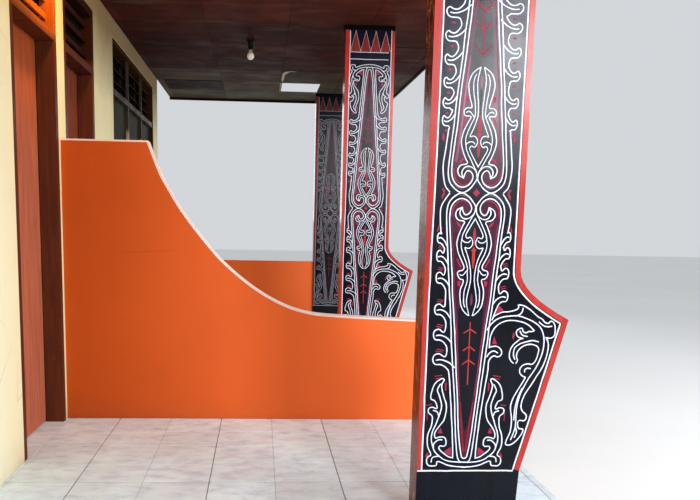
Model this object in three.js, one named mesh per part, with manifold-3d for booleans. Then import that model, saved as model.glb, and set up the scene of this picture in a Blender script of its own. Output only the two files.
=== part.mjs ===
// House veranda with tall painted fin posts, two front doors and a curved divider wall.
// Millimetres. +X points to the garden, +Y runs along the veranda, +Z is up.
// The origin lies on the ground, under the middle of the whole part.
import * as THREE from 'three';
import { mergeVertices } from 'three/addons/utils/BufferGeometryUtils.js';
import Module from 'manifold-3d';

const wasm = await Module();
wasm.setup();

// Gaps
const FIT = 0.3;                     // between pieces that touch
const CLEAR = 5;                     // round a moving leaf
const LAP = 1;                       // overlap of members that are joined into one piece

// Floor, ceiling and house wall
const FLOOR_TOP = 300;               // veranda floor over the ground
const CEILING = FLOOR_TOP + 2692;    // underside of the ceiling
const WALL_X = -1290;                // garden face of the house wall
const WALL_T = 150;
const WALL_BACK = WALL_X - WALL_T;
const HOUSE_Y = -54;                 // middle of the house wall and of the divider
const SLAB_EDGE_X = WALL_X + 2450;
const SLAB_HALF_Y = 5220;

// Openings in the house wall, as widths counted from its middle
const DOOR_PIER_W = 174;
const DOOR_W = 853;
const WALL_PIER_W = 727;
const WINDOW_W = 2368;
const END_PIER_W = 336;
const OPENING_HEAD = FLOOR_TOP + 2555;
const WINDOW_SILL = FLOOR_TOP + 900;
const DOOR_NEAR = DOOR_PIER_W / 2;
const DOOR_FAR = DOOR_NEAR + DOOR_W;
const WINDOW_NEAR = DOOR_FAR + WALL_PIER_W;
const WINDOW_FAR = WINDOW_NEAR + WINDOW_W;
const WALL_HALF_Y = WINDOW_FAR + END_PIER_W;

// Rail between a door or the window lights and what is over them
const RAIL_LOW = FLOOR_TOP + 2137;
const RAIL_H = 45;

// Doors
const FRAME_W = 50;                  // face width of a door frame member
const REVEAL = 100;                  // from the wall face to the leaf
const REBATE = 12;
const LEAF_T = 40;
const LEAF_FRONT = WALL_X - REVEAL - CLEAR;
const LEAF_BACK = LEAF_FRONT - LEAF_T;
const LEAF_MID = (LEAF_FRONT + LEAF_BACK) / 2;
const LEAF_LOW = FLOOR_TOP + 8;
const SLAT_PITCH = 95;
const SLAT_H = 34;
const SLAT_T = 12;
const SLAT_INSET = 40;
const HINGE_R = 7;
const HINGE_HALF = 50;
const HINGE_HEIGHTS = [260, 1080, 1900];
const HINGE_PLATE_T = 4;
const HINGE_PLATE_W = 32;
const HINGE_SIDES = 12;
const HINGE_X = LEAF_BACK - HINGE_R - LAP;
const HINGE_Y = DOOR_NEAR + FRAME_W - REBATE + CLEAR / 2;
const HANDLE_Z = FLOOR_TOP + 1000;
const HANDLE_INSET = 60;
const SPINDLE_R = 6;
const SPINDLE_PAST = 30;             // spindle end beyond each face of the leaf
const PLATE_T = 5;
const PLATE_W = 40;
const PLATE_BELOW = 110;
const PLATE_ABOVE = 50;
const NECK_R = 9;
const NECK_L = 38;
const NECK_OUT = 22;
const LEVER_R = 8;
const LEVER_L = 120;
const LEVER_OUT = 36;
const LEVER_SHIFT = 50;

// Windows
const RING_W = 40;                   // face width of the outer frame
const RING_FRONT = WALL_X - 5;
const RING_BACK = WALL_X - 130;
const RAIL_FRONT = WALL_X - 6;
const MULLION_FRONT = WALL_X - 10;
const MULLION_W = 36;
const BARS_BACK = WALL_X - 30;
const LIGHTS = 3;
const GLASS_T = 6;
const GLASS_INSET = 20;              // how far the glass runs into its groove
const BLADE_COUNT = 4;
const BLADE_LOW = FLOOR_TOP + 2172;
const BLADE_PITCH = 95;
const BLADE_W = 100;
const BLADE_T = 5;
const BLADE_TILT = THREE.MathUtils.degToRad(30);
const BLADE_FRONT = WALL_X - 40;
const CHANNEL_FRONT = WALL_X - 70;
const CHANNEL_T = 12;

// Divider: tall at the house, then a long hollow curve down to a low wall
const DIVIDER_T = 100;
const COPING_T = 10;
const DIVIDER_END = WALL_X + 2250;
const DIVIDER_TALL = FLOOR_TOP + 1625;
const DIVIDER_STEPS = 34;
const DIVIDER_CURVE = [              // from the house wall and the floor
  [491, 1625], [550, 1468], [600, 1370], [700, 1209], [860, 1008], [950, 917], [1050, 833],
  [1150, 763], [1250, 708], [1350, 668], [1450, 645], [1550, 635], [1700, 627],
];
const DIVIDER_LOW = FLOOR_TOP + 604;

// Fin posts
const POST_X = WALL_X + 1779;        // house edge of the fin posts
const POST_W = 384;
const POST_T = 140;
const POST_PITCH = 3341;
const POST_COUNT = 4;
const POST_CAP_H = 33;
const CURVE_STEPS = 8;
// Outline of the pointed wing, from the post's house edge and the floor
const WING_TOP = [POST_W, 1005];
const WING_HOLLOW = [386, 915];
const WING_TIP = [590, 811];
const WING_BELLY = [514, 517];
const WING_FOOT = [424, 187];
const PLINTH_W = 414;

// End walls
const PARAPET_T = 100;
const PARAPET_TOP = FLOOR_TOP + 722;

// Ceiling
const EAVE_X = WALL_X + 2700;        // inner face of the fascia
const CEILING_HALF_Y = 5550;
const CEILING_T = 6;
const PANEL_Y = 642;                 // pitch of the ceiling boards along the veranda
const PANEL_X = 634;
const PANEL_X0 = 72;
const FRAME_LOW = CEILING + CEILING_T + FIT;
const BATTEN_W = 40;
const BATTEN_H = 60;
const BATTEN_INSET = 1;
const CROSS_BATTENS = 18;
const HOLE_LINE = 1;                 // board line, counted from the far end, where the hole ends
const HOLE_X0 = WALL_X + PANEL_X0 + 2 * PANEL_X;
const HOLE_X1 = POST_X;
const HOLE_FAR_Y = CEILING_HALF_Y - HOLE_LINE * PANEL_Y;
const HOLE_NEAR_Y = HOLE_FAR_Y - 596;
const CUT_PAST = 20;                 // how far a cutting box stands out of the piece it cuts

// Roof
const ROOF_PITCH = THREE.MathUtils.degToRad(15);
const RAFTER_LOW = CEILING + 68;     // rafter underside at the fascia
const RAFTER_W = 50;
const RAFTER_H = 100;
const RAFTER_COUNT = 9;
const PURLIN = 50;
const PURLIN_COUNT = 4;
const PURLIN_INSET = 20;
const PURLIN_SINK = 2;
const ROOF_T = 18;
const ROOF_BACK = -1490;
const ROOF_FRONT = 1490;
const ROOF_HALF_Y = 5587;
const BEAM_X0 = POST_X + 120;
const BEAM_W = 150;
const BOARD_T = 20;
const FASCIA_DROP = 18;
const TRIM_DROP = 30;
const BARGE_END = EAVE_X - 320;

// Lamps: a holder with a bare bulb, as radius and height from the lower end
const LAMP_X = WALL_X + 1040;
const LAMP_Y = 2299;
const HOLDER = [[0, 0], [17, 0], [20, 8], [20, 50], [32, 66], [32, 80], [0, 80]];
const BULB = [[0, 0], [14, 3], [26, 13], [31, 31], [26, 47], [15, 64], [13, 80], [0, 80]];
const LATHE_SIDES = 20;

const COLOURS = {
  floor: [0xcdbfb9, 0.5, 0],
  wall: [0xe9dcab, 0.85, 0],
  divider: [0xe2601f, 0.6, 0],
  coping: [0xf2cfc4, 0.7, 0],
  frame: [0x54200f, 0.5, 0],
  bars: [0xb9ab96, 0.6, 0],
  leaf: [0x96493a, 0.45, 0],
  glass: [0x31483f, 0.08, 0],
  metal: [0xa8a8a4, 0.3, 1],
  post: [0x191623, 0.5, 0],
  ceiling: [0x4a2a22, 0.7, 0],
  timber: [0x6b4a33, 0.8, 0],
  trim: [0x2a1d18, 0.7, 0],
  roof: [0x8f8e89, 0.45, 0.8],
  socket: [0x15130f, 0.4, 0],
  bulb: [0xf7f3ea, 0.2, 0],
};

const SIDES = [['near', -1], ['far', 1]];
const veranda = new THREE.Group();

function material(key) {
  const [color, roughness, metalness] = COLOURS[key];
  return new THREE.MeshStandardMaterial({ color, roughness, metalness });
}

function add(name, geometry, key) {
  const mesh = new THREE.Mesh(geometry, material(key));
  mesh.name = name;
  veranda.add(mesh);
}

function ascending(a, b) {
  return [Math.min(a, b), Math.max(a, b)];
}

// A box from its low corner to its high corner
function box(x0, x1, y0, y1, z0, z1) {
  const geometry = new THREE.BoxGeometry(x1 - x0, y1 - y0, z1 - z0);
  return geometry.translate((x0 + x1) / 2, (y0 + y1) / 2, (z0 + z1) / 2);
}

// A box given by its distance range from the house middle, on one side of it
function sideBox(side, x0, x1, near, far, z0, z1) {
  const [low, high] = ascending(HOUSE_Y + side * near, HOUSE_Y + side * far);
  return box(x0, x1, low, high, z0, z1);
}

// An outline in the X-Z plane, extruded along Y from y0 to y1
function slabXZ(shape, y0, y1, curveSegments = CURVE_STEPS) {
  const geometry = new THREE.ExtrudeGeometry(shape, {
    depth: y1 - y0,
    bevelEnabled: false,
    curveSegments,
  });
  return geometry.rotateX(Math.PI / 2).translate(0, y1, 0);
}

// An outline in the Y-Z plane, extruded along X from x0 to x1
function slabYZ(shape, x0, x1) {
  const geometry = new THREE.ExtrudeGeometry(shape, { depth: x1 - x0, bevelEnabled: false });
  return geometry.rotateX(Math.PI / 2).rotateZ(Math.PI / 2).translate(x0, 0, 0);
}

function outline(points) {
  return new THREE.Shape(points.map(([a, b]) => new THREE.Vector2(a, b)));
}

function rod(radius, length, centre, axis, sides = 16) {
  const geometry = new THREE.CylinderGeometry(radius, radius, length, sides);
  if (axis === 'x') geometry.rotateZ(Math.PI / 2);
  if (axis === 'z') geometry.rotateX(Math.PI / 2);
  return geometry.translate(...centre);
}

// A turned piece on a vertical axis, standing at height z
function turned(profile, x, y, z) {
  const points = profile.map(([radius, height]) => new THREE.Vector2(radius, height));
  return new THREE.LatheGeometry(points, LATHE_SIDES).rotateX(Math.PI / 2).translate(x, y, z);
}

function toSolid(geometry) {
  const bare = geometry.clone();
  bare.deleteAttribute('normal');
  bare.deleteAttribute('uv');
  const merged = mergeVertices(bare, 1e-4);
  return new wasm.Manifold(new wasm.Mesh({
    numProp: 3,
    vertProperties: new Float32Array(merged.attributes.position.array),
    triVerts: new Uint32Array(merged.index.array),
  }));
}

function toGeometry(solid) {
  const mesh = solid.getMesh();
  const geometry = new THREE.BufferGeometry();
  geometry.setAttribute('position', new THREE.BufferAttribute(new Float32Array(mesh.vertProperties), 3));
  geometry.setIndex(new THREE.BufferAttribute(new Uint32Array(mesh.triVerts), 1));
  geometry.computeVertexNormals();
  return geometry;
}

function fuse(geometries) {
  return toGeometry(geometries.map(toSolid).reduce((whole, solid) => whole.add(solid)));
}

function cut(geometry, cutters) {
  const start = toSolid(geometry);
  return toGeometry(cutters.map(toSolid).reduce((whole, solid) => whole.subtract(solid), start));
}

// Underside of the rafters at a distance x
function roofLine(x) {
  return RAFTER_LOW + (EAVE_X - x) * Math.tan(ROOF_PITCH);
}

function makeFloor() {
  add('floor_slab', box(WALL_BACK, SLAB_EDGE_X, -SLAB_HALF_Y, SLAB_HALF_Y, 0, FLOOR_TOP), 'floor');
}

// A notched window wall on each side, the pier between the doors, the band over all
function makeWall() {
  const foot = FLOOR_TOP + FIT;
  for (const [place, side] of SIDES) {
    const points = [
      [DOOR_FAR, foot], [WALL_HALF_Y, foot], [WALL_HALF_Y, OPENING_HEAD],
      [WINDOW_FAR, OPENING_HEAD], [WINDOW_FAR, WINDOW_SILL],
      [WINDOW_NEAR, WINDOW_SILL], [WINDOW_NEAR, OPENING_HEAD], [DOOR_FAR, OPENING_HEAD],
    ];
    const shape = outline(points.map(([y, z]) => [HOUSE_Y + side * y, z]));
    add(`window_wall_${place}`, slabYZ(shape, WALL_BACK, WALL_X), 'wall');
  }
  add('door_pier', box(WALL_BACK, WALL_X, HOUSE_Y - DOOR_NEAR, HOUSE_Y + DOOR_NEAR,
    foot, OPENING_HEAD), 'wall');
  add('wall_top', box(WALL_BACK, WALL_X, HOUSE_Y - WALL_HALF_Y, HOUSE_Y + WALL_HALF_Y,
    OPENING_HEAD + FIT, roofLine(WALL_X) - FIT), 'wall');
}

// Horizontal bars over a door, let into the frame at both ends
function slats(side, near, far, x, low, high) {
  const list = [];
  for (let z = low + SLAT_PITCH; z + SLAT_H < high; z += SLAT_PITCH) {
    list.push(sideBox(side, x - SLAT_T, x, near - LAP, far + LAP, z - SLAT_H, z));
  }
  return list;
}

// One half of a butt hinge: half the barrel and its plate, on the pier side or the leaf side
function hingeHalf(side, z, onLeaf) {
  const low = onLeaf ? z + FIT / 2 : z - HINGE_HALF;
  const high = onLeaf ? z + HINGE_HALF : z - FIT / 2;
  const centre = [HINGE_X, HOUSE_Y + side * HINGE_Y, (low + high) / 2];
  const [near, far] = ascending(HINGE_Y, HINGE_Y + (onLeaf ? 1 : -1) * HINGE_PLATE_W);
  return [
    rod(HINGE_R, high - low, centre, 'z', HINGE_SIDES),
    sideBox(side, LEAF_BACK - HINGE_PLATE_T, LEAF_BACK + LAP, near, far, low, high),
  ];
}

// Lever handle with a plate and a lever on each face of the leaf, on one spindle
function leverHandle(side, y) {
  const spindle = LEAF_T + 2 * SPINDLE_PAST;
  const pieces = [rod(SPINDLE_R, spindle, [LEAF_MID, y, HANDLE_Z], 'x')];
  for (const [face, out] of [[LEAF_FRONT, 1], [LEAF_BACK, -1]]) {
    const [low, high] = ascending(face + out * FIT, face + out * (FIT + PLATE_T));
    pieces.push(box(low, high, y - PLATE_W / 2, y + PLATE_W / 2,
      HANDLE_Z - PLATE_BELOW, HANDLE_Z + PLATE_ABOVE));
    pieces.push(rod(LEVER_R, LEVER_L, [face + out * LEVER_OUT, y - side * LEVER_SHIFT, HANDLE_Z], 'y'));
    pieces.push(rod(NECK_R, NECK_L, [face + out * NECK_OUT, y, HANDLE_Z], 'x'));
  }
  return fuse(pieces);
}

// A door: frame with barred transom, and the leaf that swings into the house
function makeDoor(place, side) {
  const foot = FLOOR_TOP + FIT;
  const head = OPENING_HEAD - FIT;
  const near = DOOR_NEAR + FIT;
  const far = DOOR_FAR - FIT;
  const reveal = WALL_X - REVEAL;
  const railTop = RAIL_LOW + RAIL_H;
  const members = [
    sideBox(side, LEAF_BACK, WALL_X, near, near + FRAME_W - REBATE, foot, head),
    sideBox(side, LEAF_BACK, WALL_X, far - FRAME_W + REBATE, far, foot, head),
    sideBox(side, reveal, WALL_X, near, near + FRAME_W, foot, head),
    sideBox(side, reveal, WALL_X, far - FRAME_W, far, foot, head),
    sideBox(side, LEAF_BACK, WALL_X, near, far, head - FRAME_W, head),
    sideBox(side, reveal, WALL_X, near, far, RAIL_LOW, railTop),
    sideBox(side, LEAF_BACK, reveal + LAP, near, far, RAIL_LOW + REBATE, railTop),
    ...slats(side, near + FRAME_W, far - FRAME_W, WALL_X - SLAT_INSET, railTop, head - FRAME_W),
  ];
  for (const height of HINGE_HEIGHTS) members.push(...hingeHalf(side, FLOOR_TOP + height, false));
  add(`door_frame_${place}`, fuse(members), 'frame');

  const leafNear = near + FRAME_W - REBATE + CLEAR;
  const leafFar = far - FRAME_W + REBATE - CLEAR;
  const leafTop = RAIL_LOW + REBATE - CLEAR;
  const leafPieces = [sideBox(side, LEAF_BACK, LEAF_FRONT, leafNear, leafFar, LEAF_LOW, leafTop)];
  for (const height of HINGE_HEIGHTS) leafPieces.push(...hingeHalf(side, FLOOR_TOP + height, true));
  const handleY = HOUSE_Y + side * (leafFar - HANDLE_INSET);
  const bore = rod(SPINDLE_R + FIT, LEAF_T + CUT_PAST, [LEAF_MID, handleY, HANDLE_Z], 'x');
  add(`door_leaf_${place}`, cut(fuse(leafPieces), [bore]), 'leaf');
  add(`door_handle_${place}`, leverHandle(side, handleY), 'metal');
}

// Tilted glass blades over the rail, joined by upright channels behind the mullions
function louvreBlades(side, near, far, uprights) {
  const along = [-Math.cos(BLADE_TILT), Math.sin(BLADE_TILT)];
  const across = [along[1] * BLADE_T, -along[0] * BLADE_T];
  const [y0, y1] = ascending(HOUSE_Y + side * near, HOUSE_Y + side * far);
  const pieces = [];
  for (let i = 0; i < BLADE_COUNT; i += 1) {
    const low = [BLADE_FRONT, BLADE_LOW + i * BLADE_PITCH];
    const back = [low[0] + along[0] * BLADE_W, low[1] + along[1] * BLADE_W];
    const shape = outline([
      low, back, [back[0] + across[0], back[1] + across[1]], [low[0] + across[0], low[1] + across[1]],
    ]);
    pieces.push(slabXZ(shape, y0, y1));
  }
  const top = BLADE_LOW + (BLADE_COUNT - 1) * BLADE_PITCH + BLADE_W * along[1];
  for (const [start, end] of uprights) {
    pieces.push(sideBox(side, CHANNEL_FRONT - CHANNEL_T, CHANNEL_FRONT, start, end, BLADE_LOW, top));
  }
  return fuse(pieces);
}

// A window: outer frame, pale rail and mullions, one sheet of glass for the lights, louvres on top
function makeWindow(place, side) {
  const near = WINDOW_NEAR + FIT;
  const far = WINDOW_FAR - FIT;
  const low = WINDOW_SILL + FIT;
  const head = OPENING_HEAD - FIT;
  const glassTop = RAIL_LOW + RAIL_H / 2;
  const ring = cut(sideBox(side, RING_BACK, RING_FRONT, near, far, low, head), [
    sideBox(side, RING_BACK - CUT_PAST, RING_FRONT + CUT_PAST, near + RING_W, far - RING_W,
      low + RING_W, head - RING_W),
    sideBox(side, BARS_BACK - GLASS_T - 2 * FIT, BARS_BACK, near + GLASS_INSET - FIT,
      far - GLASS_INSET + FIT, low + GLASS_INSET - FIT, glassTop + FIT),
  ]);
  add(`window_frame_${place}`, ring, 'frame');
  add(`window_glass_${place}`, sideBox(side, BARS_BACK - GLASS_T - FIT, BARS_BACK - FIT,
    near + GLASS_INSET, far - GLASS_INSET, low + GLASS_INSET, glassTop), 'glass');

  const inNear = near + RING_W + FIT;
  const inFar = far - RING_W - FIT;
  const pitch = (inFar - inNear + MULLION_W) / LIGHTS;
  const bars = [sideBox(side, BARS_BACK, RAIL_FRONT, inNear, inFar, RAIL_LOW, RAIL_LOW + RAIL_H)];
  const uprights = [[inNear, inNear + MULLION_W / 2], [inFar - MULLION_W / 2, inFar]];
  for (let i = 1; i < LIGHTS; i += 1) {
    const start = inNear + i * pitch - MULLION_W;
    bars.push(sideBox(side, BARS_BACK, MULLION_FRONT, start, start + MULLION_W,
      low + RING_W + FIT, head - RING_W - FIT));
    uprights.push([start, start + MULLION_W]);
  }
  add(`window_bars_${place}`, fuse(bars), 'bars');
  add(`louvre_blades_${place}`, louvreBlades(side, inNear, inFar, uprights), 'glass');
}

// Top line of the divider, from the house wall to its low end
function dividerTop() {
  const curve = new THREE.SplineCurve(DIVIDER_CURVE
    .map(([x, z]) => new THREE.Vector2(WALL_X + x, FLOOR_TOP + z)));
  return [
    new THREE.Vector2(WALL_X + FIT, DIVIDER_TALL),
    ...curve.getPoints(DIVIDER_STEPS),
    new THREE.Vector2(DIVIDER_END, DIVIDER_LOW),
  ];
}

// The same line, sunk square to its run; both ends go straight down
function sunk(points, depth) {
  return points.map((point, i) => {
    if (i === 0 || i === points.length - 1) return new THREE.Vector2(point.x, point.y - depth);
    const before = point.clone().sub(points[i - 1]).normalize();
    const after = points[i + 1].clone().sub(point).normalize();
    const normal = new THREE.Vector2(before.y + after.y, -before.x - after.x).normalize();
    const mitre = normal.x * before.y - normal.y * before.x;
    return point.clone().addScaledVector(normal, depth / mitre);
  });
}

function makeDivider() {
  const y0 = HOUSE_Y - DIVIDER_T / 2;
  const y1 = HOUSE_Y + DIVIDER_T / 2;
  const foot = FLOOR_TOP + FIT;
  const top = dividerTop();
  const wall = new THREE.Shape([
    new THREE.Vector2(WALL_X + FIT, foot),
    ...sunk(top, COPING_T),
    new THREE.Vector2(DIVIDER_END, foot),
  ]);
  add('divider_wall', slabXZ(wall, y0, y1), 'divider');
  const coping = new THREE.Shape([...sunk(top, COPING_T - FIT), ...top.reverse()]);
  add('divider_coping', slabXZ(coping, y0, y1), 'coping');
}

// Low wall that closes each end of the veranda, from the house line to the end post
function makeEndParapets() {
  for (const [place, side] of SIDES) {
    const y = side * POST_PITCH * (POST_COUNT - 1) / 2;
    add(`end_parapet_${place}`, box(WALL_X, POST_X - FIT, y - PARAPET_T / 2, y + PARAPET_T / 2,
      FLOOR_TOP + FIT, PARAPET_TOP), 'divider');
  }
}

// A fin post, with a pointed wing low down on its garden edge
function postOutline() {
  const shape = new THREE.Shape();
  const top = CEILING - POST_CAP_H - FIT;
  const at = ([x, z]) => [POST_X + x, FLOOR_TOP + z];
  shape.moveTo(POST_X, FLOOR_TOP + FIT);
  shape.lineTo(POST_X, top);
  shape.lineTo(POST_X + POST_W, top);
  shape.lineTo(...at(WING_TOP));
  shape.quadraticCurveTo(...at(WING_HOLLOW), ...at(WING_TIP));
  shape.quadraticCurveTo(...at(WING_BELLY), ...at(WING_FOOT));
  shape.lineTo(POST_X + PLINTH_W, FLOOR_TOP + FIT);
  shape.closePath();
  return shape;
}

function makePosts() {
  for (let i = 0; i < POST_COUNT; i += 1) {
    const y = (i - (POST_COUNT - 1) / 2) * POST_PITCH;
    const y0 = y - POST_T / 2;
    const y1 = y + POST_T / 2;
    add(`post_${i + 1}`, slabXZ(postOutline(), y0, y1), 'post');
    add(`post_cap_${i + 1}`, box(POST_X, POST_X + POST_W, y0, y1,
      CEILING - POST_CAP_H, CEILING + CEILING_T), 'trim');
  }
}

// Ceiling boards: two thin sheets that meet over the divider, open round the posts.
// One board is missing by the far end post.
function makeCeiling() {
  const low = CEILING - CUT_PAST;
  const high = CEILING + CUT_PAST;
  for (const [place, side] of SIDES) {
    const [y0, y1] = ascending(side * CEILING_HALF_Y, side * FIT / 2);
    const sheet = box(WALL_X + FIT, EAVE_X - FIT, y0, y1, CEILING, CEILING + CEILING_T);
    const cutters = [0.5, 1.5].map((step) => {
      const y = side * step * POST_PITCH;
      return box(POST_X - FIT, POST_X + POST_W + FIT, y - POST_T / 2 - FIT, y + POST_T / 2 + FIT, low, high);
    });
    if (side > 0) cutters.push(box(HOLE_X0, HOLE_X1, HOLE_NEAR_Y, HOLE_FAR_Y, low, high));
    add(`ceiling_${place}`, cut(sheet, cutters), 'ceiling');
  }
}

// Beam over the posts
function makeBeam() {
  add('post_beam', box(BEAM_X0, BEAM_X0 + BEAM_W, -CEILING_HALF_Y, CEILING_HALF_Y,
    FRAME_LOW, roofLine(BEAM_X0 + BEAM_W) - FIT), 'timber');
}

// Battens that carry the ceiling boards: long ones along the veranda and cross ones between x0 and x1.
// The cross batten at the far edge of the hole stops short at gapX.
function battenGrid(x0, x1, longLines, gapX = x1) {
  const high = FRAME_LOW + BATTEN_H;
  const pieces = longLines.map((x) => box(x, x + BATTEN_W, -CEILING_HALF_Y, CEILING_HALF_Y,
    FRAME_LOW, high));
  for (let i = 0; i < CROSS_BATTENS; i += 1) {
    const line = CEILING_HALF_Y - i * PANEL_Y;
    const low = i === 0 ? line - BATTEN_W - BATTEN_INSET : line - BATTEN_W / 2;
    const end = i === HOLE_LINE ? gapX : x1;
    pieces.push(box(x0, end, low, low + BATTEN_W, FRAME_LOW + BATTEN_INSET, high - BATTEN_INSET));
  }
  return fuse(pieces);
}

function makeCeilingFrame() {
  const first = WALL_X + PANEL_X0;
  const inner = [first, first + PANEL_X - BATTEN_W / 2, first + 2 * PANEL_X - BATTEN_W / 2];
  add('ceiling_battens_inner', battenGrid(WALL_X + FIT, BEAM_X0 - FIT, inner, HOLE_X0), 'timber');
  const outer = [EAVE_X - FIT - BATTEN_W];
  add('ceiling_battens_outer', battenGrid(BEAM_X0 + BEAM_W + FIT, EAVE_X - FIT, outer), 'timber');
}

// A board between two heights over the rafter line, from x0 to x1
function slopedBox(x0, x1, y0, y1, lift, height) {
  const low = lift / Math.cos(ROOF_PITCH);
  const high = (lift + height) / Math.cos(ROOF_PITCH);
  return slabXZ(outline([
    [x0, roofLine(x0) + low], [x1, roofLine(x1) + low],
    [x1, roofLine(x1) + high], [x0, roofLine(x0) + high],
  ]), y0, y1);
}

// Rafters with the purlins fused on top, then the roofing sheet
function makeRoof() {
  const pieces = [];
  const first = -CEILING_HALF_Y + RAFTER_W;
  const rafterPitch = -2 * first / (RAFTER_COUNT - 1);
  for (let i = 0; i < RAFTER_COUNT; i += 1) {
    const y = first + i * rafterPitch;
    pieces.push(slopedBox(WALL_BACK, EAVE_X - FIT, y - RAFTER_W / 2, y + RAFTER_W / 2, 0, RAFTER_H));
  }
  const back = WALL_BACK + PURLIN_INSET;
  const purlinPitch = (EAVE_X - 2 * PURLIN_INSET - PURLIN - back) / (PURLIN_COUNT - 1);
  for (let i = 0; i < PURLIN_COUNT; i += 1) {
    const x = back + i * purlinPitch;
    pieces.push(slopedBox(x, x + PURLIN, -CEILING_HALF_Y, CEILING_HALF_Y,
      RAFTER_H - PURLIN_SINK, PURLIN + PURLIN_SINK));
  }
  add('roof_frame', fuse(pieces), 'timber');
  add('roof_sheet', slopedBox(ROOF_BACK, ROOF_FRONT, -ROOF_HALF_Y, ROOF_HALF_Y,
    RAFTER_H + PURLIN + FIT, ROOF_T), 'roof');
}

// Boards at the eave and at both gable ends, and the trim under the ends of the ceiling
function makeEdges() {
  const boardTop = roofLine(EAVE_X + BOARD_T) + (RAFTER_H + PURLIN) / Math.cos(ROOF_PITCH) - FIT;
  const endY = CEILING_HALF_Y + FIT + BOARD_T;
  add('fascia', box(EAVE_X, EAVE_X + BOARD_T, -endY, endY, CEILING - FASCIA_DROP, boardTop), 'trim');
  for (const [place, side] of SIDES) {
    const [y0, y1] = ascending(side * (CEILING_HALF_Y + FIT), side * endY);
    add(`end_trim_${place}`, box(WALL_X + FIT, EAVE_X - FIT, y0, y1,
      CEILING - TRIM_DROP, FRAME_LOW + BATTEN_H), 'trim');
    add(`barge_board_${place}`, slopedBox(WALL_BACK, BARGE_END, y0, y1, 0, RAFTER_H + PURLIN), 'trim');
  }
}

// Lamp holders under the ceiling, each with a bare bulb
function makeLamps() {
  const holderLow = CEILING - FIT - HOLDER.at(-1)[1];
  const bulbLow = holderLow - FIT - BULB.at(-1)[1];
  for (const [place, side] of SIDES) {
    const y = HOUSE_Y + side * LAMP_Y;
    add(`lamp_holder_${place}`, turned(HOLDER, LAMP_X, y, holderLow), 'socket');
    add(`bulb_${place}`, turned(BULB, LAMP_X, y, bulbLow), 'bulb');
  }
}

makeFloor();
makeWall();
for (const [place, side] of SIDES) {
  makeDoor(place, side);
  makeWindow(place, side);
}
makeDivider();
makeEndParapets();
makePosts();
makeCeiling();
makeBeam();
makeCeilingFrame();
makeRoof();
makeEdges();
makeLamps();

export default veranda;
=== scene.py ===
# Looks of a house veranda with painted fin posts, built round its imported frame.
# Metres, in the frame's own axes: +X to the garden, +Y along the veranda, +Z up.
import math
import random

import bpy
from mathutils import Matrix, Vector, noise
from mathutils.geometry import tessellate_polygon


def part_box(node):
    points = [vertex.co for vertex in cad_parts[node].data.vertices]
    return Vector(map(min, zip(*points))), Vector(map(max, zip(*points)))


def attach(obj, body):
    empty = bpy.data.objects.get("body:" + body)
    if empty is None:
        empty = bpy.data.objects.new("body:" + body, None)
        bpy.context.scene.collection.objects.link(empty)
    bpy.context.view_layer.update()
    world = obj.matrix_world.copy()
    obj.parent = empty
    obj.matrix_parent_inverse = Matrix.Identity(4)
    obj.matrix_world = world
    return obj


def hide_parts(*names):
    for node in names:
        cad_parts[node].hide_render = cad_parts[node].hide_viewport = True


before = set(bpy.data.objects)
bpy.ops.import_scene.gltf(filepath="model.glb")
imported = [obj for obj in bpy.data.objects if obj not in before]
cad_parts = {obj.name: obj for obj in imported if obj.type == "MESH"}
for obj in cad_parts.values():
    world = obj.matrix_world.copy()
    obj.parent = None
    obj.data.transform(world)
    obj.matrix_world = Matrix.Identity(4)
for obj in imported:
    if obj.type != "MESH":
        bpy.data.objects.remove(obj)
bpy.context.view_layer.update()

MM = 0.001
BODY = "veranda"
PLACES = ("near", "far")

# Main places, taken from the frame
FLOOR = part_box("floor_slab")[1].z
WALL_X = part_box("door_pier")[1].x
HOUSE_Y = (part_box("door_pier")[0].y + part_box("door_pier")[1].y) / 2
POST_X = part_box("post_cap_1")[0].x
POST_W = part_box("post_cap_1")[1].x - POST_X
POSTS = [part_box(f"post_cap_{i}") for i in range(1, 5)]
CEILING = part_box("ceiling_far")[0].z
CEILING_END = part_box("ceiling_far")[1].y
EAVE_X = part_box("fascia")[0].x
# Rail under the louvres, and top of the rail over the doors
WINDOW_RAIL = FLOOR + 1.905
DOOR_RAIL = FLOOR + 2.182


# Mesh helpers

def new_object(name, data):
    made = bpy.data.objects.new(name, data)
    bpy.context.scene.collection.objects.link(made)
    return made


def make_object(name, verts, faces, materials, indices=None, smooth=False):
    mesh = bpy.data.meshes.new(name)
    mesh.from_pydata([tuple(v) for v in verts], [], faces)
    for item in materials:
        mesh.materials.append(item)
    if indices:
        mesh.polygons.foreach_set("material_index", indices)
    mesh.polygons.foreach_set("use_smooth", [smooth] * len(mesh.polygons))
    mesh.update()
    return new_object(name, mesh)


def finish_piece(piece, body=BODY, replaced=()):
    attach(piece, body)
    if replaced:
        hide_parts(*replaced)


def add_bevel(piece, width, segments=2):
    bevel = piece.modifiers.new("edges", "BEVEL")
    bevel.width = width
    bevel.segments = segments
    bevel.limit_method = "ANGLE"
    bevel.angle_limit = math.radians(40)
    bevel.harden_normals = True


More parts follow.
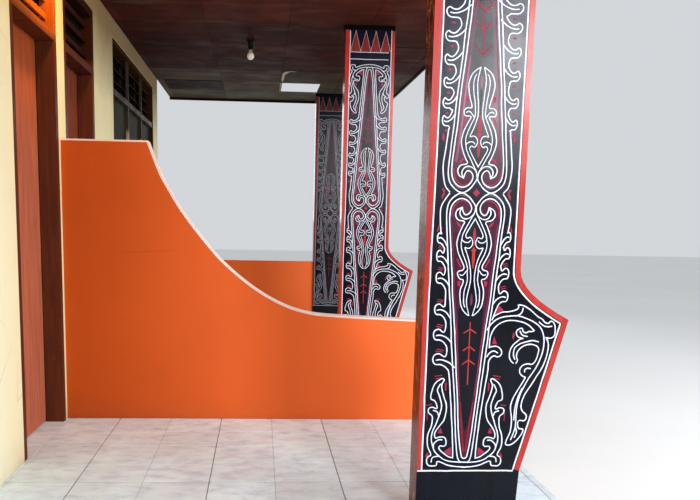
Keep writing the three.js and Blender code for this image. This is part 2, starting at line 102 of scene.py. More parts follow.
class Boxes:
    """Many boxes with bevelled top edges, gathered into one mesh, each with a tone from 0 to 1."""

    def __init__(self):
        self.verts, self.faces, self.tones, self.indices = [], [], [], []

    def add(self, low, high, tone=0.5, bevel=0.0, index=0, lifts=(0, 0, 0, 0)):
        x0, y0, z0 = low
        x1, y1, z1 = high
        rings = [(0, z0), (0, z1 - bevel), (bevel, z1)] if bevel else [(0, z0), (0, z1)]
        start = len(self.verts)
        for inset, z in rings:
            corners = ((x0 + inset, y0 + inset), (x1 - inset, y0 + inset),
                       (x1 - inset, y1 - inset), (x0 + inset, y1 - inset))
            for (x, y), lift in zip(corners, lifts):
                self.verts.append((x, y, z + lift))
                self.tones.append(tone)
        self.faces.append([start + i for i in (3, 2, 1, 0)])
        for base in range(start, start + 4 * (len(rings) - 1), 4):
            for i in range(4):
                j = (i + 1) % 4
                self.faces.append([base + i, base + j, base + 4 + j, base + 4 + i])
        self.faces.append([len(self.verts) - 4 + i for i in range(4)])
        self.indices.extend([index] * (len(self.faces) - len(self.indices)))

    def build(self, name, materials):
        piece = make_object(name, self.verts, self.faces, materials, self.indices)
        attribute = piece.data.attributes.new("tone", "FLOAT", "POINT")
        attribute.data.foreach_set("value", self.tones)
        return piece


# Material helpers

class Nodes:
    """Short names for the shader nodes that every material here is made of."""

    def __init__(self, name, roughness=0.5, metallic=0.0, specular=0.5):
        self.material = bpy.data.materials.new(name)
        self.material.use_nodes = True
        self.tree = self.material.node_tree
        self.shader = self.tree.nodes["Principled BSDF"]
        self.fill(self.shader, {"Roughness": roughness, "Metallic": metallic, "Specular IOR Level": specular})
        self.place = self.node("ShaderNodeTexCoord", {}).outputs["Object"]

    def fill(self, node, inputs):
        """Links each input to a socket, or sets its value."""
        for key, value in inputs.items():
            socket = node.inputs[key]
            if isinstance(value, bpy.types.NodeSocket):
                self.tree.links.new(value, socket)
            elif socket.type == "RGBA":
                socket.default_value = (*value, 1)
            else:
                socket.default_value = value

    def node(self, kind, inputs, **settings):
        made = self.tree.nodes.new(kind)
        for key, value in settings.items():
            setattr(made, key, value)
        self.fill(made, inputs)
        return made

    def noise(self, scale, detail=4, roughness=0.55, stretch=None, distortion=0.0):
        """Noise from 0 to 1. Stretch holds what each axis is multiplied by."""
        place = self.place
        if stretch:
            place = self.node("ShaderNodeMapping", {"Vector": place, "Scale": stretch}).outputs["Vector"]
        inputs = {"Vector": place, "Scale": scale, "Detail": detail,
                  "Roughness": roughness, "Distortion": distortion}
        return self.node("ShaderNodeTexNoise", inputs).outputs["Fac"]

    def cells(self, scale, feature="F1"):
        inputs = {"Vector": self.place, "Scale": scale}
        return self.node("ShaderNodeTexVoronoi", inputs, feature=feature).outputs["Distance"]

    def ramp(self, value, *stops):
        made = self.node("ShaderNodeValToRGB", {"Fac": value})
        elements = made.color_ramp.elements
        while len(elements) < len(stops):
            elements.new(0.5)
        for element, (place, colour) in zip(elements, stops):
            element.position = place
            grey = isinstance(colour, (int, float))
            element.color = (colour, colour, colour, 1) if grey else (*colour, 1)
        return made.outputs["Color"]

    def spread(self, value, low, high):
        """From low to high over the middle of a noise's range."""
        return self.ramp(value, (0.3, low), (0.7, high))

    def shades(self, value, colour, *stops):
        """Lighter and darker shades of one colour, as (place, share of its brightness)."""
        return self.ramp(value, *((place, darker(colour, share)) for place, share in stops))

    def fade(self, value, start, end, most=1.0):
        """Nothing up to start, and most from end on."""
        return self.ramp(value, (start, 0.0), (end, most))

    def mix(self, factor, first, second, blend="MIX"):
        # The numbers are the places of the factor and of both colours on a colour mix node
        made = self.node("ShaderNodeMix", {}, data_type="RGBA", blend_type=blend)
        self.fill(made, {0: factor, 6: first, 7: second})
        return made.outputs[2]

    def laid(self, tone, colour, value, start, end, most=1.0):
        """A colour laid over the tone where the value is high."""
        return self.mix(self.fade(value, start, end, most), tone, colour)

    def math(self, operation, first, second=0.0):
        return self.node("ShaderNodeMath", {0: first, 1: second}, operation=operation).outputs[0]

    def times(self, first, second):
        return self.math("MULTIPLY", first, second)

    def plus(self, first, second):
        return self.math("ADD", first, second)

    def minus(self, first, second):
        return self.math("SUBTRACT", first, second)

    def axis(self, name, vector=None):
        return self.node("ShaderNodeSeparateXYZ", {0: vector or self.place}).outputs[name]

    def along(self, name, start, end):
        """From 0 at start to 1 at end of a stretch of one axis."""
        return self.math("DIVIDE", self.minus(self.axis(name), start), end - start)

    def normal(self, name):
        return self.axis(name, self.node("ShaderNodeNewGeometry", {}).outputs["Normal"])

    def attribute(self, name):
        return self.node("ShaderNodeAttribute", {}, attribute_name=name).outputs["Fac"]

    def done(self, colour, roughness=None, height=None, strength=0.0, distance=0.0):
        """The finished material, with a bump where there is a height."""
        inputs = {"Base Color": colour}
        if roughness is not None:
            inputs["Roughness"] = roughness
        if height is not None:
            bump = {"Height": height, "Strength": strength, "Distance": distance}
            inputs["Normal"] = self.node("ShaderNodeBump", bump).outputs["Normal"]
        self.fill(self.shader, inputs)
        return self.material


def darker(colour, factor):
    return tuple(c * factor for c in colour)


def plaster(name, colour, low_z, sheen=0.6, stain=(0.16, 0.11, 0.07), ceiling_shade=0.0, painted_light=None):
    """Painted plaster: clouds, roller grain, hairline cracks, and dirt that splashed up from low_z.

    Under the ceiling it can be darkened with painted shade. Painted light can pale it along an axis: it holds
    the axis, the start and end on it, the paler colour and its share. Where shade is painted, both stay on
    the side that faces the garden.
    """
    n = Nodes(name, sheen, specular=0.12)
    tone = n.shades(n.noise(1.3, 5), colour, (0.3, 0.88), (0.55, 1), (0.75, 1.05))
    splash = n.plus(n.minus(n.axis("Z"), low_z), n.times(n.noise(6, 6), 0.12))
    tone = n.mix(n.ramp(splash, (0.02, 0.55), (0.10, 0.16), (0.22, 0.0)), tone, stain)
    streaks = n.noise(5, 5, 0.6, (1, 1, 0.12))
    tone = n.laid(tone, darker(colour, 0.55), streaks, 0.58, 0.78, 0.13)
    garden_side = n.fade(n.normal("X"), 0.4, 0.6) if ceiling_shade else None
    # Painted light: the plaster turns paler along an axis, where more light falls on it
    if painted_light:
        axis, start, end, pale, most = painted_light
        share = n.fade(n.along(axis, start, end), 0.0, 1.0, most)
        if ceiling_shade:
            share = n.times(share, garden_side)
        tone = n.mix(share, tone, pale)
    # Painted shade under the ceiling: the plaster turns dark brown towards it
    if ceiling_shade:
        depth = n.minus(CEILING, n.plus(n.axis("Z"), n.times(n.noise(3, 5), 0.25)))
        share = n.times(n.ramp(depth, (0.0, ceiling_shade), (0.55, 0.0)), garden_side)
        tone = n.mix(share, tone, (0.22, 0.115, 0.035))
    cracks = n.ramp(n.cells(2.3, "DISTANCE_TO_EDGE"), (0.0, 1.0), (0.006, 0.0))
    cracked = n.times(cracks, n.fade(n.noise(1.1), 0.56, 0.66, 0.6))
    tone = n.mix(cracked, tone, darker(colour, 0.35))
    grain = n.plus(n.noise(180, 3), n.times(n.noise(14, 4), 1.6))
    return n.done(tone, n.spread(n.noise(9, 5), sheen - 0.08, sheen + 0.1), grain, 0.35, 0.0012)


def painted_wood(name, colour, along="Z", sheen=0.4, wear=(0.25, 0.16, 0.10), worn=0.35, upper=None,
                 specular=0.012):
    """Painted wood with grain along one axis and chips.

    Upper holds two heights and a colour: the paint turns into it between them.
    """
    n = Nodes(name, sheen, specular=specular)
    stretch = [9, 9, 9]
    stretch["XYZ".index(along)] = 0.6
    grain = n.noise(4, 7, 0.65, stretch, 0.4)
    tone = n.shades(grain, colour, (0.28, 0.62), (0.55, 1), (0.78, 1.25))
    fine = n.noise(26, 4, 0.6, stretch)
    chips = n.times(n.fade(n.noise(16, 6, 0.7), 0.66, 0.70), worn)
    tone = n.mix(chips, tone, wear)
    if upper:
        start, end, changed = upper
        grained = n.shades(grain, changed, (0.28, 0.7), (0.78, 1.2))
        tone = n.laid(tone, grained, n.along("Z", start, end), 0.0, 1.0)
    rough = n.ramp(n.noise(7, 5), (0.3, sheen - 0.1), (0.72, sheen + 0.18))
    height = n.plus(n.times(grain, 0.7), n.times(fine, 0.5))
    return n.done(tone, rough, height, 0.35, 0.0012)


def tile_material():
    """Glazed tile with pale veins, each tile a little warmer as its tone rises, with specks and smears."""
    n = Nodes("glazed_floor_tile", 0.3, specular=0.12)
    veins = n.noise(11.0, 8, 0.62, (0.95, 1.35, 1.0), 0.25)
    pale, middle, dusk = (0.78, 0.94, 1.0), (0.70, 0.83, 0.94), (0.56, 0.64, 0.73)
    colour = n.ramp(veins, (0.33, dusk), (0.47, middle), (0.62, pale))
    colour = n.mix(n.times(n.attribute("tone"), 0.25), colour, (0.54, 0.52, 0.56))
    colour = n.laid(colour, (0.30, 0.26, 0.26), n.noise(240, 2), 0.62, 0.74, 0.35)
    colour = n.laid(colour, (0.50, 0.47, 0.50), n.noise(2.2, 6, 0.7), 0.45, 0.72, 0.30)
    wavy = n.plus(n.noise(7, 3), n.times(n.noise(90, 2), 0.08))
    return n.done(colour, n.spread(n.noise(3.1, 6, 0.7), 0.25, 0.55), wavy, 0.18, 0.002)


def cement(name, colour):
    n = Nodes(name, 0.9)
    tone = n.shades(n.noise(7, 8, 0.65), colour, (0.3, 0.6), (0.7, 1.15))
    height = n.plus(n.noise(60, 6), n.times(n.fade(n.cells(85), 0.0, 0.25), 0.4))
    return n.done(tone, None, height, 0.6, 0.002)


def far_painted_shade(n, tone):
    """Painted shade: the paint on the posts turns darker towards the far end, which lies in shade."""
    along = n.times(n.axis("Y"), 0.1)
    return n.mix(1.0, tone, n.ramp(along, (0.35, 1.0), (0.47, 0.38)), "MULTIPLY")


def enamel(name, colour, sheen=0.35, cloud=0.85, dust=0.12, specular=0.15):
    """Brushed oil paint on the posts: faint brush lines, dust and pinholes."""
    n = Nodes(name, sheen, specular=specular)
    strokes = n.noise(9, 5, 0.6, (3, 3, 0.35), 0.3)
    tone = n.shades(strokes, colour, (0.32, cloud), (0.68, 2 - cloud))
    tone = n.laid(tone, (0.30, 0.25, 0.22), n.noise(3, 7, 0.7), 0.50, 0.80, dust)
    rough = n.spread(n.noise(6, 5), sheen - 0.04, sheen + 0.08)
    height = n.plus(n.times(strokes, 0.6), n.noise(120, 3))
    return n.done(far_painted_shade(n, tone), rough, height, 0.16, 0.0006)


def post_material():
    """Black face with a navy cast higher up that is a painted bluish reflection, and speckled brown edges
    where the older coat shows.
    """
    n = Nodes("post_black_paint", 0.35, specular=0.13)
    strokes = n.noise(8, 5, 0.6, (3, 3, 0.4), 0.3)
    face = n.spread(strokes, (0.0015, 0.002, 0.004), (0.004, 0.005, 0.012))
    height = n.minus(n.axis("Z"), FLOOR)
    # Painted reflection: the face turns navy from 1 m to 1.5 m above the floor, and stays so above
    face = n.laid(face, (0.007, 0.008, 0.020), n.times(height, 0.5), 0.50, 0.75)
    speck = n.noise(24, 9, 0.78, (1, 1, 0.7))
    edge = n.ramp(speck, (0.36, (0.016, 0.006, 0.005)), (0.45, (0.085, 0.020, 0.012)),
                  (0.54, (0.20, 0.045, 0.022)), (0.62, (0.42, 0.20, 0.12)))
    tone = n.laid(face, edge, n.math("ABSOLUTE", n.normal("X")), 0.25, 0.45)
    dust = n.plus(height, n.times(n.noise(5, 6), 0.10))
    tone = n.mix(n.ramp(dust, (0.03, 0.12), (0.09, 0.0)), tone, (0.16, 0.12, 0.10))
    relief = n.plus(n.times(strokes, 0.5), n.noise(140, 4))
    return n.done(far_painted_shade(n, tone), n.spread(n.noise(7, 5), 0.17, 0.26), relief, 0.18, 0.0008)


def ceiling_material():
    """Varnished boards: brick red, then brown, grey and olive as tone rises, with one nearly black.
    The brick red of the near rows is partly painted warm lamp light.
    """
    n = Nodes("ceiling_varnish", 0.6, specular=0.003)
    base = n.ramp(n.attribute("tone"), (0.0, (0.110, 0.026, 0.017)), (0.25, (0.058, 0.017, 0.013)),
                  (0.50, (0.062, 0.033, 0.026)), (0.70, (0.105, 0.080, 0.056)),
                  (0.85, (0.105, 0.092, 0.055)), (1.0, (0.024, 0.016, 0.013)))
    grain = n.noise(2.2, 8, 0.55, (0.6, 3.2, 4), 0.2)
    colour = n.mix(1.0, base, n.ramp(grain, (0.28, 0.74), (0.55, 1.0), (0.80, 1.30)), "MULTIPLY")
    colour = n.laid(colour, (0.016, 0.009, 0.008), n.noise(1.9, 7, 0.68), 0.42, 0.66, 0.60)
    stain = n.noise(1.3, 5, 0.6, (1.0, 2.0, 1.0))
    colour = n.laid(colour, (0.13, 0.095, 0.07), stain, 0.55, 0.70, 0.34)
    rough = n.ramp(n.noise(4, 6), (0.3, 0.45), (0.75, 0.75))
    return n.done(colour, rough, n.noise(5, 8, 0.68, (0.9, 9, 4)), 0.2, 0.0008)


def raw_timber():
    n = Nodes("rough_timber", 0.8)
    rings = n.noise(5, 8, 0.7, (9, 0.8, 9), 1.0)
    colour = n.ramp(rings, (0.28, (0.055, 0.028, 0.015)), (0.55, (0.15, 0.085, 0.045)),
                    (0.80, (0.26, 0.17, 0.10)))
    knots = n.ramp(n.cells(3.2), (0.0, 1.0), (0.06, 0.0))
    colour = n.mix(knots, colour, (0.03, 0.014, 0.008))
    height = n.plus(rings, n.times(n.noise(60, 5), 0.4))
    return n.done(colour, None, height, 0.7, 0.002)


def roof_metal():
    """Weathered zinc with spangle, rust and grime."""
    n = Nodes("weathered_zinc", 0.45, 0.75)
    spangle = n.ramp(n.cells(60), (0.1, 0.75), (0.7, 1.0))
    colour = n.mix(1.0, (0.33, 0.325, 0.32), spangle, "MULTIPLY")
    rust = n.fade(n.noise(2.2, 9, 0.72, (0.5, 2.2, 1)), 0.52, 0.64, 0.9)
    colour = n.mix(rust, colour, (0.20, 0.072, 0.03))
    colour = n.laid(colour, (0.08, 0.07, 0.06), n.noise(7, 7, 0.7), 0.50, 0.75, 0.5)
    n.fill(n.shader, {"Metallic": n.ramp(rust, (0.1, 0.75), (0.6, 0.1))})
    return n.done(colour, n.spread(n.noise(12, 5), 0.35, 0.65), n.noise(30, 6), 0.3, 0.0012)


def metal(name, colour, roughness):
    """Brushed metal with a few rust spots."""
    n = Nodes(name, roughness, 1.0)
    brushed = n.noise(90, 4, 0.6, (1, 1, 12))
    tone = n.shades(brushed, colour, (0.3, 0.7), (0.7, 1))
    tone = n.laid(tone, (0.14, 0.08, 0.045), n.noise(45, 6, 0.7), 0.60, 0.70, 0.6)
    rough = n.spread(n.noise(20, 4), roughness - 0.08, roughness + 0.15)
    return n.done(tone, rough, brushed, 0.2, 0.0004)


def dark_glass(name, deep, pale, film, film_most):
    """Opaque window glass: its dark colours are painted shade of the room behind with dim painted
    reflections, under a dusty film with faint ripples.
    """
    n = Nodes(name, 0.12, specular=0.00015)
    colour = n.ramp(n.noise(1.8, 5), (0.30, deep), (0.72, pale))
    colour = n.laid(colour, film, n.noise(4, 7, 0.7), 0.45, 0.80, film_most)
    rough = n.ramp(n.noise(5, 6), (0.35, 0.10), (0.75, 0.30))
    return n.done(colour, rough, n.noise(2.4, 2), 0.10, 0.004)


def torn_wood():
    """Raw ply where a board broke: pale fibres with grey weathering."""
    n = Nodes("torn_ply", 0.9, specular=0.05)
    fibre = n.noise(30, 6, 0.7, (6, 1, 2), 0.4)
    tone = n.ramp(fibre, (0.30, (0.30, 0.22, 0.15)), (0.55, (0.62, 0.54, 0.42)), (0.75, (0.80, 0.76, 0.66)))
    tone = n.laid(tone, (0.20, 0.17, 0.14), n.noise(14, 5), 0.50, 0.75, 0.6)
    return n.done(tone, None, fibre, 0.6, 0.001)


def fly_screen_painted_shade():
    """Woven netting, two sets of fine threads with dust in them, near black as painted shade of the rooms
    behind.
    """
    n = Nodes("fly_screen_painted_shade", 0.85, specular=0.01)
    thread_pitch = 0.0025
    threads = [n.math("SINE", n.times(n.axis(name), 2 * math.pi / thread_pitch)) for name in "YZ"]
    weave = n.plus(*threads)
    tone = n.ramp(weave, (0.1, (0.004, 0.003, 0.002)), (0.9, (0.018, 0.013, 0.009)))
    tone = n.laid(tone, (0.06, 0.05, 0.04), n.noise(3, 7, 0.7), 0.50, 0.75, 0.20)
    return n.done(tone, None, weave, 0.5, 0.0006)


def black_plastic():
    n = Nodes("bakelite", 0.3, specular=0.1)
    tone = n.spread(n.noise(40, 5), (0.004, 0.003, 0.003), (0.012, 0.009, 0.008))
    return n.done(tone, n.spread(n.noise(25, 5), 0.22, 0.5), n.noise(200, 3), 0.2, 0.0004)


def opal_glass():
    """Milky bulb with dust on it and a brown neck."""
    n = Nodes("opal_glass", 0.18)
    dust = n.fade(n.noise(60, 6, 0.7), 0.45, 0.75, 0.35)
    tone = n.mix(dust, (0.93, 0.90, 0.84), (0.55, 0.48, 0.38))
    low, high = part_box("bulb_near")
    tone = n.laid(tone, (0.22, 0.13, 0.11), n.along("Z", low.z, high.z), 0.55, 0.72)
    n.fill(n.shader, {"Subsurface Weight": 0.25, "Subsurface Radius": (0.02, 0.02, 0.015), "Coat Weight": 0.7,
                      "Emission Color": (1.0, 0.94, 0.82), "Emission Strength": 0.12})
    return n.done(tone, n.ramp(dust, (0.0, 0.12), (0.4, 0.4)), n.noise(80, 3), 0.05, 0.0003)


# Cream wall: painted shade under the ceiling, and painted daylight that pales it towards the near end
WALL = plaster("cream_plaster", (0.84, 0.735, 0.425), FLOOR, 0.72, ceiling_shade=0.85,
               painted_light=("Y", -0.9, -1.9, (0.88, 0.93, 0.82), 0.9))
# Orange walls: painted daylight that pales them towards the garden
ORANGE = plaster("orange_plaster", (0.53, 0.078, 0.008), FLOOR, 0.48, (0.22, 0.05, 0.02),
                 painted_light=("X", -1.0, 0.75, (0.96, 0.165, 0.038), 0.9))
COPING = plaster("pale_edge_paint", (0.86, 0.66, 0.60), 0, 0.6)
# Near door frame: above the rail it turns orange, a painted glow of the lamp by the door's head
FRAME_DARK = painted_wood("dark_brown_paint", (0.108, 0.029, 0.013), "Z", 0.38,
                          upper=(DOOR_RAIL - 0.05, DOOR_RAIL, (0.36, 0.080, 0.012)))
# Far door frame: above the rail it turns nearly black as painted shade
FRAME_FAR_SHADED = painted_wood("brown_paint_shaded_over_rail", (0.105, 0.027, 0.014), "Z", 0.38,
                            upper=(DOOR_RAIL, DOOR_RAIL + 0.05, (0.032, 0.009, 0.005)))
FRAME_LONG = painted_wood("dark_brown_paint_long", (0.052, 0.021, 0.007), "Y", 0.38, specular=0.001)
BARS = painted_wood("pale_bar_paint", (0.52, 0.38, 0.26), "Y", 0.5, (0.10, 0.05, 0.03), 0.7,
                    (WINDOW_RAIL, WINDOW_RAIL + 0.05, (0.062, 0.046, 0.031)))
# Near door leaf: the far leaf's paint made brighter as painted light, turning orange towards its head as
# painted lamp glow
LEAF_NEAR_LIT = painted_wood("lamp_lit_leaf_paint", (0.46, 0.132, 0.072), "Z", 0.38, (0.20, 0.08, 0.045), 0.2,
                         (FLOOR + 1.5, DOOR_RAIL, (0.40, 0.075, 0.018)))
LEAF_FAR = painted_wood("red_brown_leaf_paint", (0.23, 0.056, 0.029), "Z", 0.38, (0.14, 0.055, 0.03), 0.2)
TRIM = painted_wood("black_brown_paint", (0.018, 0.009, 0.006), "Y", 0.5, (0.08, 0.045, 0.03), 0.4)
CAP = painted_wood("black_cap_paint", (0.006, 0.005, 0.006), "X", 0.4, (0.03, 0.02, 0.02), 0.3)
# Fly screens: near-black netting that stands in for the shade of the rooms behind
SCREEN = fly_screen_painted_shade()
STEEL = metal("brushed_steel", (0.62, 0.61, 0.59), 0.28)
# Window and louvre glass: dark colours painted in for the shaded rooms behind and their dim reflections
GLASS = dark_glass("glass_painted_shade", (0.009, 0.011, 0.005), (0.026, 0.026, 0.012), (0.15, 0.14, 0.08), 0.20)
LOUVRE = dark_glass("louvre_glass_painted_shade", (0.014, 0.009, 0.006), (0.035, 0.022, 0.014), (0.16, 0.11, 0.07), 0.30)
POST = post_material()
BOARD = ceiling_material()
TORN = torn_wood()
TIMBER = raw_timber()
ZINC = roof_metal()
PLASTIC = black_plastic()
BULB = opal_glass()
TILE = tile_material()
MORTAR = cement("cement_joint", (0.14, 0.11, 0.095))
SLAB = cement("slab_cement", (0.34, 0.31, 0.28))

# Paints of the ornament, and the place of each in their list
PAINTS = [
    enamel("white_line_paint", (0.82, 0.86, 1.0), 0.42, 0.93, 0.14),
    enamel("red_band_paint", (0.46, 0.034, 0.027), 0.21, 0.82, 0.15),
    enamel("deep_red_paint", (0.23, 0.012, 0.010), 0.4, 0.75, 0.12),
    enamel("crimson_accent_paint", (0.36, 0.016, 0.052), 0.4, 0.8, 0.15),
    enamel("rose_streak_paint", (0.19, 0.036, 0.080), 0.24, 0.7, 0.12),
    enamel("maroon_field_paint", (0.056, 0.006, 0.024), 0.21, 0.7, 0.05),
    enamel("black_field_paint", (0.003, 0.0035, 0.009), 0.20, 0.7, 0.015, 0.14),
]
WHITE, RED, DEEP_RED, CRIMSON, ROSE, MAROON, BLACK = range(len(PAINTS))


# Camera, lights and studio floor

CAMERA_FOCAL_PX = 809.33
CAMERA_CENTRE_PX = (309.25, 344.54)
PICTURE_PX = (700, 500)
CAMERA_YAW = 0.062466
CAMERA_PITCH = 0.147983
CAMERA_ROLL = 0.018671
CAMERA_EYE = Vector((-0.1545, -4.887, 1.4715))
STUDIO_REACH = 40

# Name, place, target, watts, colour and size
SOFTBOXES = (
    ("garden_softbox", (6.2, -3.0, 4.0), (-1.0, 0.0, 1.2), 485, (0.96, 0.98, 1.0), (7, 4)),
    ("front_softbox", (3.25, -9.0, 3.55), (0.4, -1.7, 1.6), 440, (0.94, 0.97, 1.0), (1.5, 1.8)),
    ("far_softbox", (0.5, 9.5, 3.0), (-0.6, 2.0, 1.3), 70, (0.95, 0.98, 1.0), (4, 3)),
)


def make_camera():
    forward = Vector((math.sin(CAMERA_YAW) * math.cos(CAMERA_PITCH),
                      math.cos(CAMERA_YAW) * math.cos(CAMERA_PITCH), -math.sin(CAMERA_PITCH)))
    level = Vector((math.cos(CAMERA_YAW), -math.sin(CAMERA_YAW), 0))
    down = forward.cross(level)
    right = math.cos(CAMERA_ROLL) * level - math.sin(CAMERA_ROLL) * down
    under = math.sin(CAMERA_ROLL) * level + math.cos(CAMERA_ROLL) * down
    place = Matrix((right, -under, -forward)).transposed().to_4x4()
    place.translation = CAMERA_EYE
    data = bpy.data.cameras.new("camera")
    data.sensor_width = 36
    data.lens = CAMERA_FOCAL_PX / PICTURE_PX[0] * data.sensor_width
    data.shift_x = (PICTURE_PX[0] / 2 - CAMERA_CENTRE_PX[0]) / PICTURE_PX[0]
    data.shift_y = (CAMERA_CENTRE_PX[1] - PICTURE_PX[1] / 2) / PICTURE_PX[0]
    data.clip_start = 0.01
    camera = new_object("camera", data)
    camera.matrix_world = place
    bpy.context.scene.camera = camera


def add_light(name, kind, place, power, colour):
    data = bpy.data.lights.new(name, kind)
    data.energy = power
    data.color = colour
    light = new_object(name, data)
    light.location = place
    return light


def add_softbox(name, place, target, power, colour, size):
    light = add_light(name, "AREA", place, power, colour)
    light.data.shape = "RECTANGLE"
    light.data.size, light.data.size_y = size
    light.rotation_euler = (Vector(target) - Vector(place)).to_track_quat("-Z", "Y").to_euler()


def make_stage():
    world = bpy.data.worlds.new("studio")
    bpy.context.scene.world = world
    world.use_nodes = True
    world.node_tree.nodes["Background"].inputs["Color"].default_value = (0.93, 0.96, 1.0, 1)
    world.node_tree.nodes["Background"].inputs["Strength"].default_value = 0.70
    for box in SOFTBOXES:
        add_softbox(*box)
    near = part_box("bulb_near")
    # The glow of the near bulb, and of a lamp out of the picture that lights the near door's head
    under_bulb = ((near[0].x + near[1].x) / 2, (near[0].y + near[1].y) / 2, near[0].z - 0.06)
    door_head = (WALL_X + 0.22, HOUSE_Y - 0.30, CEILING - 0.10)
    for name, place, power, colour in (("lamp_glow", under_bulb, 12, (1.0, 0.70, 0.36)),
                                       ("door_glow", door_head, 32, (1.0, 0.58, 0.10))):
        add_light(name, "POINT", place, power, colour).data.shadow_soft_size = 0.05

    corners = [(x * STUDIO_REACH, y * STUDIO_REACH, 0) for x, y in ((-1, -1), (1, -1), (1, 1), (-1, 1))]
    floor = make_object("studio_floor", corners, [[0, 1, 2, 3]], [])
    n = Nodes("studio_grey", 0.85)
    floor.data.materials.append(n.done(n.spread(n.noise(0.4), 0.78, 0.82)))
    bpy.context.scene.view_settings.view_transform = "Standard"
    bpy.context.scene.view_settings.exposure = 0.0


# Floor: a cement slab with single glazed tiles bedded on it

TILE_PITCH = 0.300
WIDE_JOINT, FINE_JOINT, CROSS_JOINT = 0.0042, 0.0014, 0.0065
TILE_LINE_X = -0.3763
TILE_LINE_Y = -0.707
TILE_T = 0.009
TILE_EDGE = 0.0012
TILE_DROP, TILE_TILT = 0.0006, 0.0004
MORTAR_DROP, MORTAR_INSET = 0.002, 0.002
# Height between faces of two layers that would otherwise lie on each other
BED = 0.001


def grid_lines(first, low, high, pitch):
    """Joint lines between two limits, with the limits themselves at both ends."""
    start = first + math.ceil((low - first) / pitch) * pitch
    lines = [low]
    while start < high - 1e-6:
        if start > low + 1e-6:
            lines.append(start)
        start += pitch
    return [*lines, high]


def make_floor():
    low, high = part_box("floor_slab")
    rng = random.Random(31)
    parts = Boxes()
    bed_z = high.z - TILE_T
    parts.add(low, (high.x, high.y, bed_z), index=1)
    parts.add((low.x + MORTAR_INSET, low.y + MORTAR_INSET, bed_z - BED),
              (high.x - MORTAR_INSET, high.y - MORTAR_INSET, high.z - MORTAR_DROP), index=2)
    xs = grid_lines(TILE_LINE_X, low.x, high.x, TILE_PITCH)
    ys = grid_lines(TILE_LINE_Y, low.y, high.y, TILE_PITCH)
    joints = [FINE_JOINT if round((x - TILE_LINE_X) / TILE_PITCH) % 2 else WIDE_JOINT for x in xs]
    gap = CROSS_JOINT / 2
    for x0, x1, left, right in zip(xs, xs[1:], joints, joints[1:]):
        for y0, y1 in zip(ys, ys[1:]):
            drop = rng.uniform(0, TILE_DROP)
            tilt = [-rng.uniform(0, TILE_TILT) for _ in range(4)]
            corner = (x0 + left / 2, y0 + gap, bed_z + BED - drop)
            opposite = (x1 - right / 2, y1 - gap, high.z - drop)
            parts.add(corner, opposite, rng.random(), TILE_EDGE, 0, tilt)
    piece = parts.build("tiled_floor", [TILE, SLAB, MORTAR])
    finish_piece(piece, replaced=["floor_slab"])


# Walls, joinery, posts and timbers keep their solids: material, width of the bevel, and nodes

DRESSED = (
    (WALL, 0.004, ("window_wall_near", "window_wall_far", "door_pier", "wall_top")),
    (ORANGE, 0.004, ("divider_wall", "end_parapet_near", "end_parapet_far")),
    (COPING, 0, ("divider_coping",)),
    (FRAME_DARK, 0.0025, ("door_frame_near",)),
    (FRAME_FAR_SHADED, 0.0025, ("door_frame_far",)),
    (LEAF_NEAR_LIT, 0.003, ("door_leaf_near",)),
    (LEAF_FAR, 0.003, ("door_leaf_far",)),
    (STEEL, 0, ("door_handle_near", "door_handle_far")),
    (FRAME_LONG, 0.0025, ("window_frame_near", "window_frame_far")),
    (BARS, 0.002, ("window_bars_near", "window_bars_far")),
    (GLASS, 0, ("window_glass_near", "window_glass_far")),
    (LOUVRE, 0, ("louvre_blades_near", "louvre_blades_far")),
    (TIMBER, 0, ("post_beam", "ceiling_battens_inner", "ceiling_battens_outer", "roof_frame")),
    (TRIM, 0.003, ("fascia", "end_trim_near", "end_trim_far", "barge_board_near", "barge_board_far")),
    (CAP, 0.003, [f"post_cap_{i}" for i in range(1, 5)]),
    (POST, 0.004, [f"post_{i}" for i in range(1, 5)]),
    (PLASTIC, 0, ("lamp_holder_near", "lamp_holder_far")),
    (BULB, 0, ("bulb_near", "bulb_far")),
)


BEVEL_STEPS, POST_BEVEL_STEPS = 2, 3


def dress_solids():
    for material, bevel, nodes in DRESSED:
        for node in nodes:
            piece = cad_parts[node]
            piece.data.materials.clear()
            piece.data.materials.append(material)
            if bevel:
                add_bevel(piece, bevel, POST_BEVEL_STEPS if material is POST else BEVEL_STEPS)


# Painted ornament on the posts, in millimetres on the post's face. Lists with a side hold
# (distance from the centre line, height over the veranda floor) for the lower half. The upper half
# mirrors them, apart from its own lists. WING holds places on the whole face, from the house edge.

CENTRE = 192
MIRROR_Z = 1302
WING_TOP_Z = 1005
BAND_W = 22
# The bands keep this far off the face's edges, and the house band ends this far under its white line
EDGE_MARGIN = 0.5
UNDER_LINE = 4
# The white line's distance from the garden edge, and from the house edge at some heights
EDGE_LINE = 28
HOUSE_LINE = [(20, 187), (22, 900), (30, 1400), (34, 1950), (36, 2655)]
BASE_LINE_Z = 187
TOP_LINES_Z = (2440, 2492)
BAND_TOP = 2655
TEETH = 4
TOOTH_APEX_Z = 2650
TOOTH_MARGIN = 5
HOOK_TIP = 145

# Widths of the lines
EDGE_LINE_W = 6.4
LINE_W = 5.0
BAR_W = 3.4
ARROW_W = 5
TOOTH_LINE_W, TOOTH_LINE_H = 2.6, 1.0
VOLUTE_BAND_W = 13
FOOT_STREAK_W = 7
VOLUTE_STREAK_W = 4
VOLUTE_STREAK_SHIFT = (7, 8)
STREAK_W = 4.5
HIGH_STREAK_W = {-1: 18, 1: 7}
STREAK_GAP, STREAK_LEAST = 6, 3

# Heights of the paint: where fields overlap, the upper one is higher
LINE_H = 1.3
PAINT_H = 0.9
DROP_H = 1.0
BORDER_H = 0.8
STREAK_H = 0.7
MAROON_H, LEAF_FIELD_H, BLACK_H, VOLUTE_H, LYRE_H = 0.5, 0.62, 0.74, 0.8, 0.86

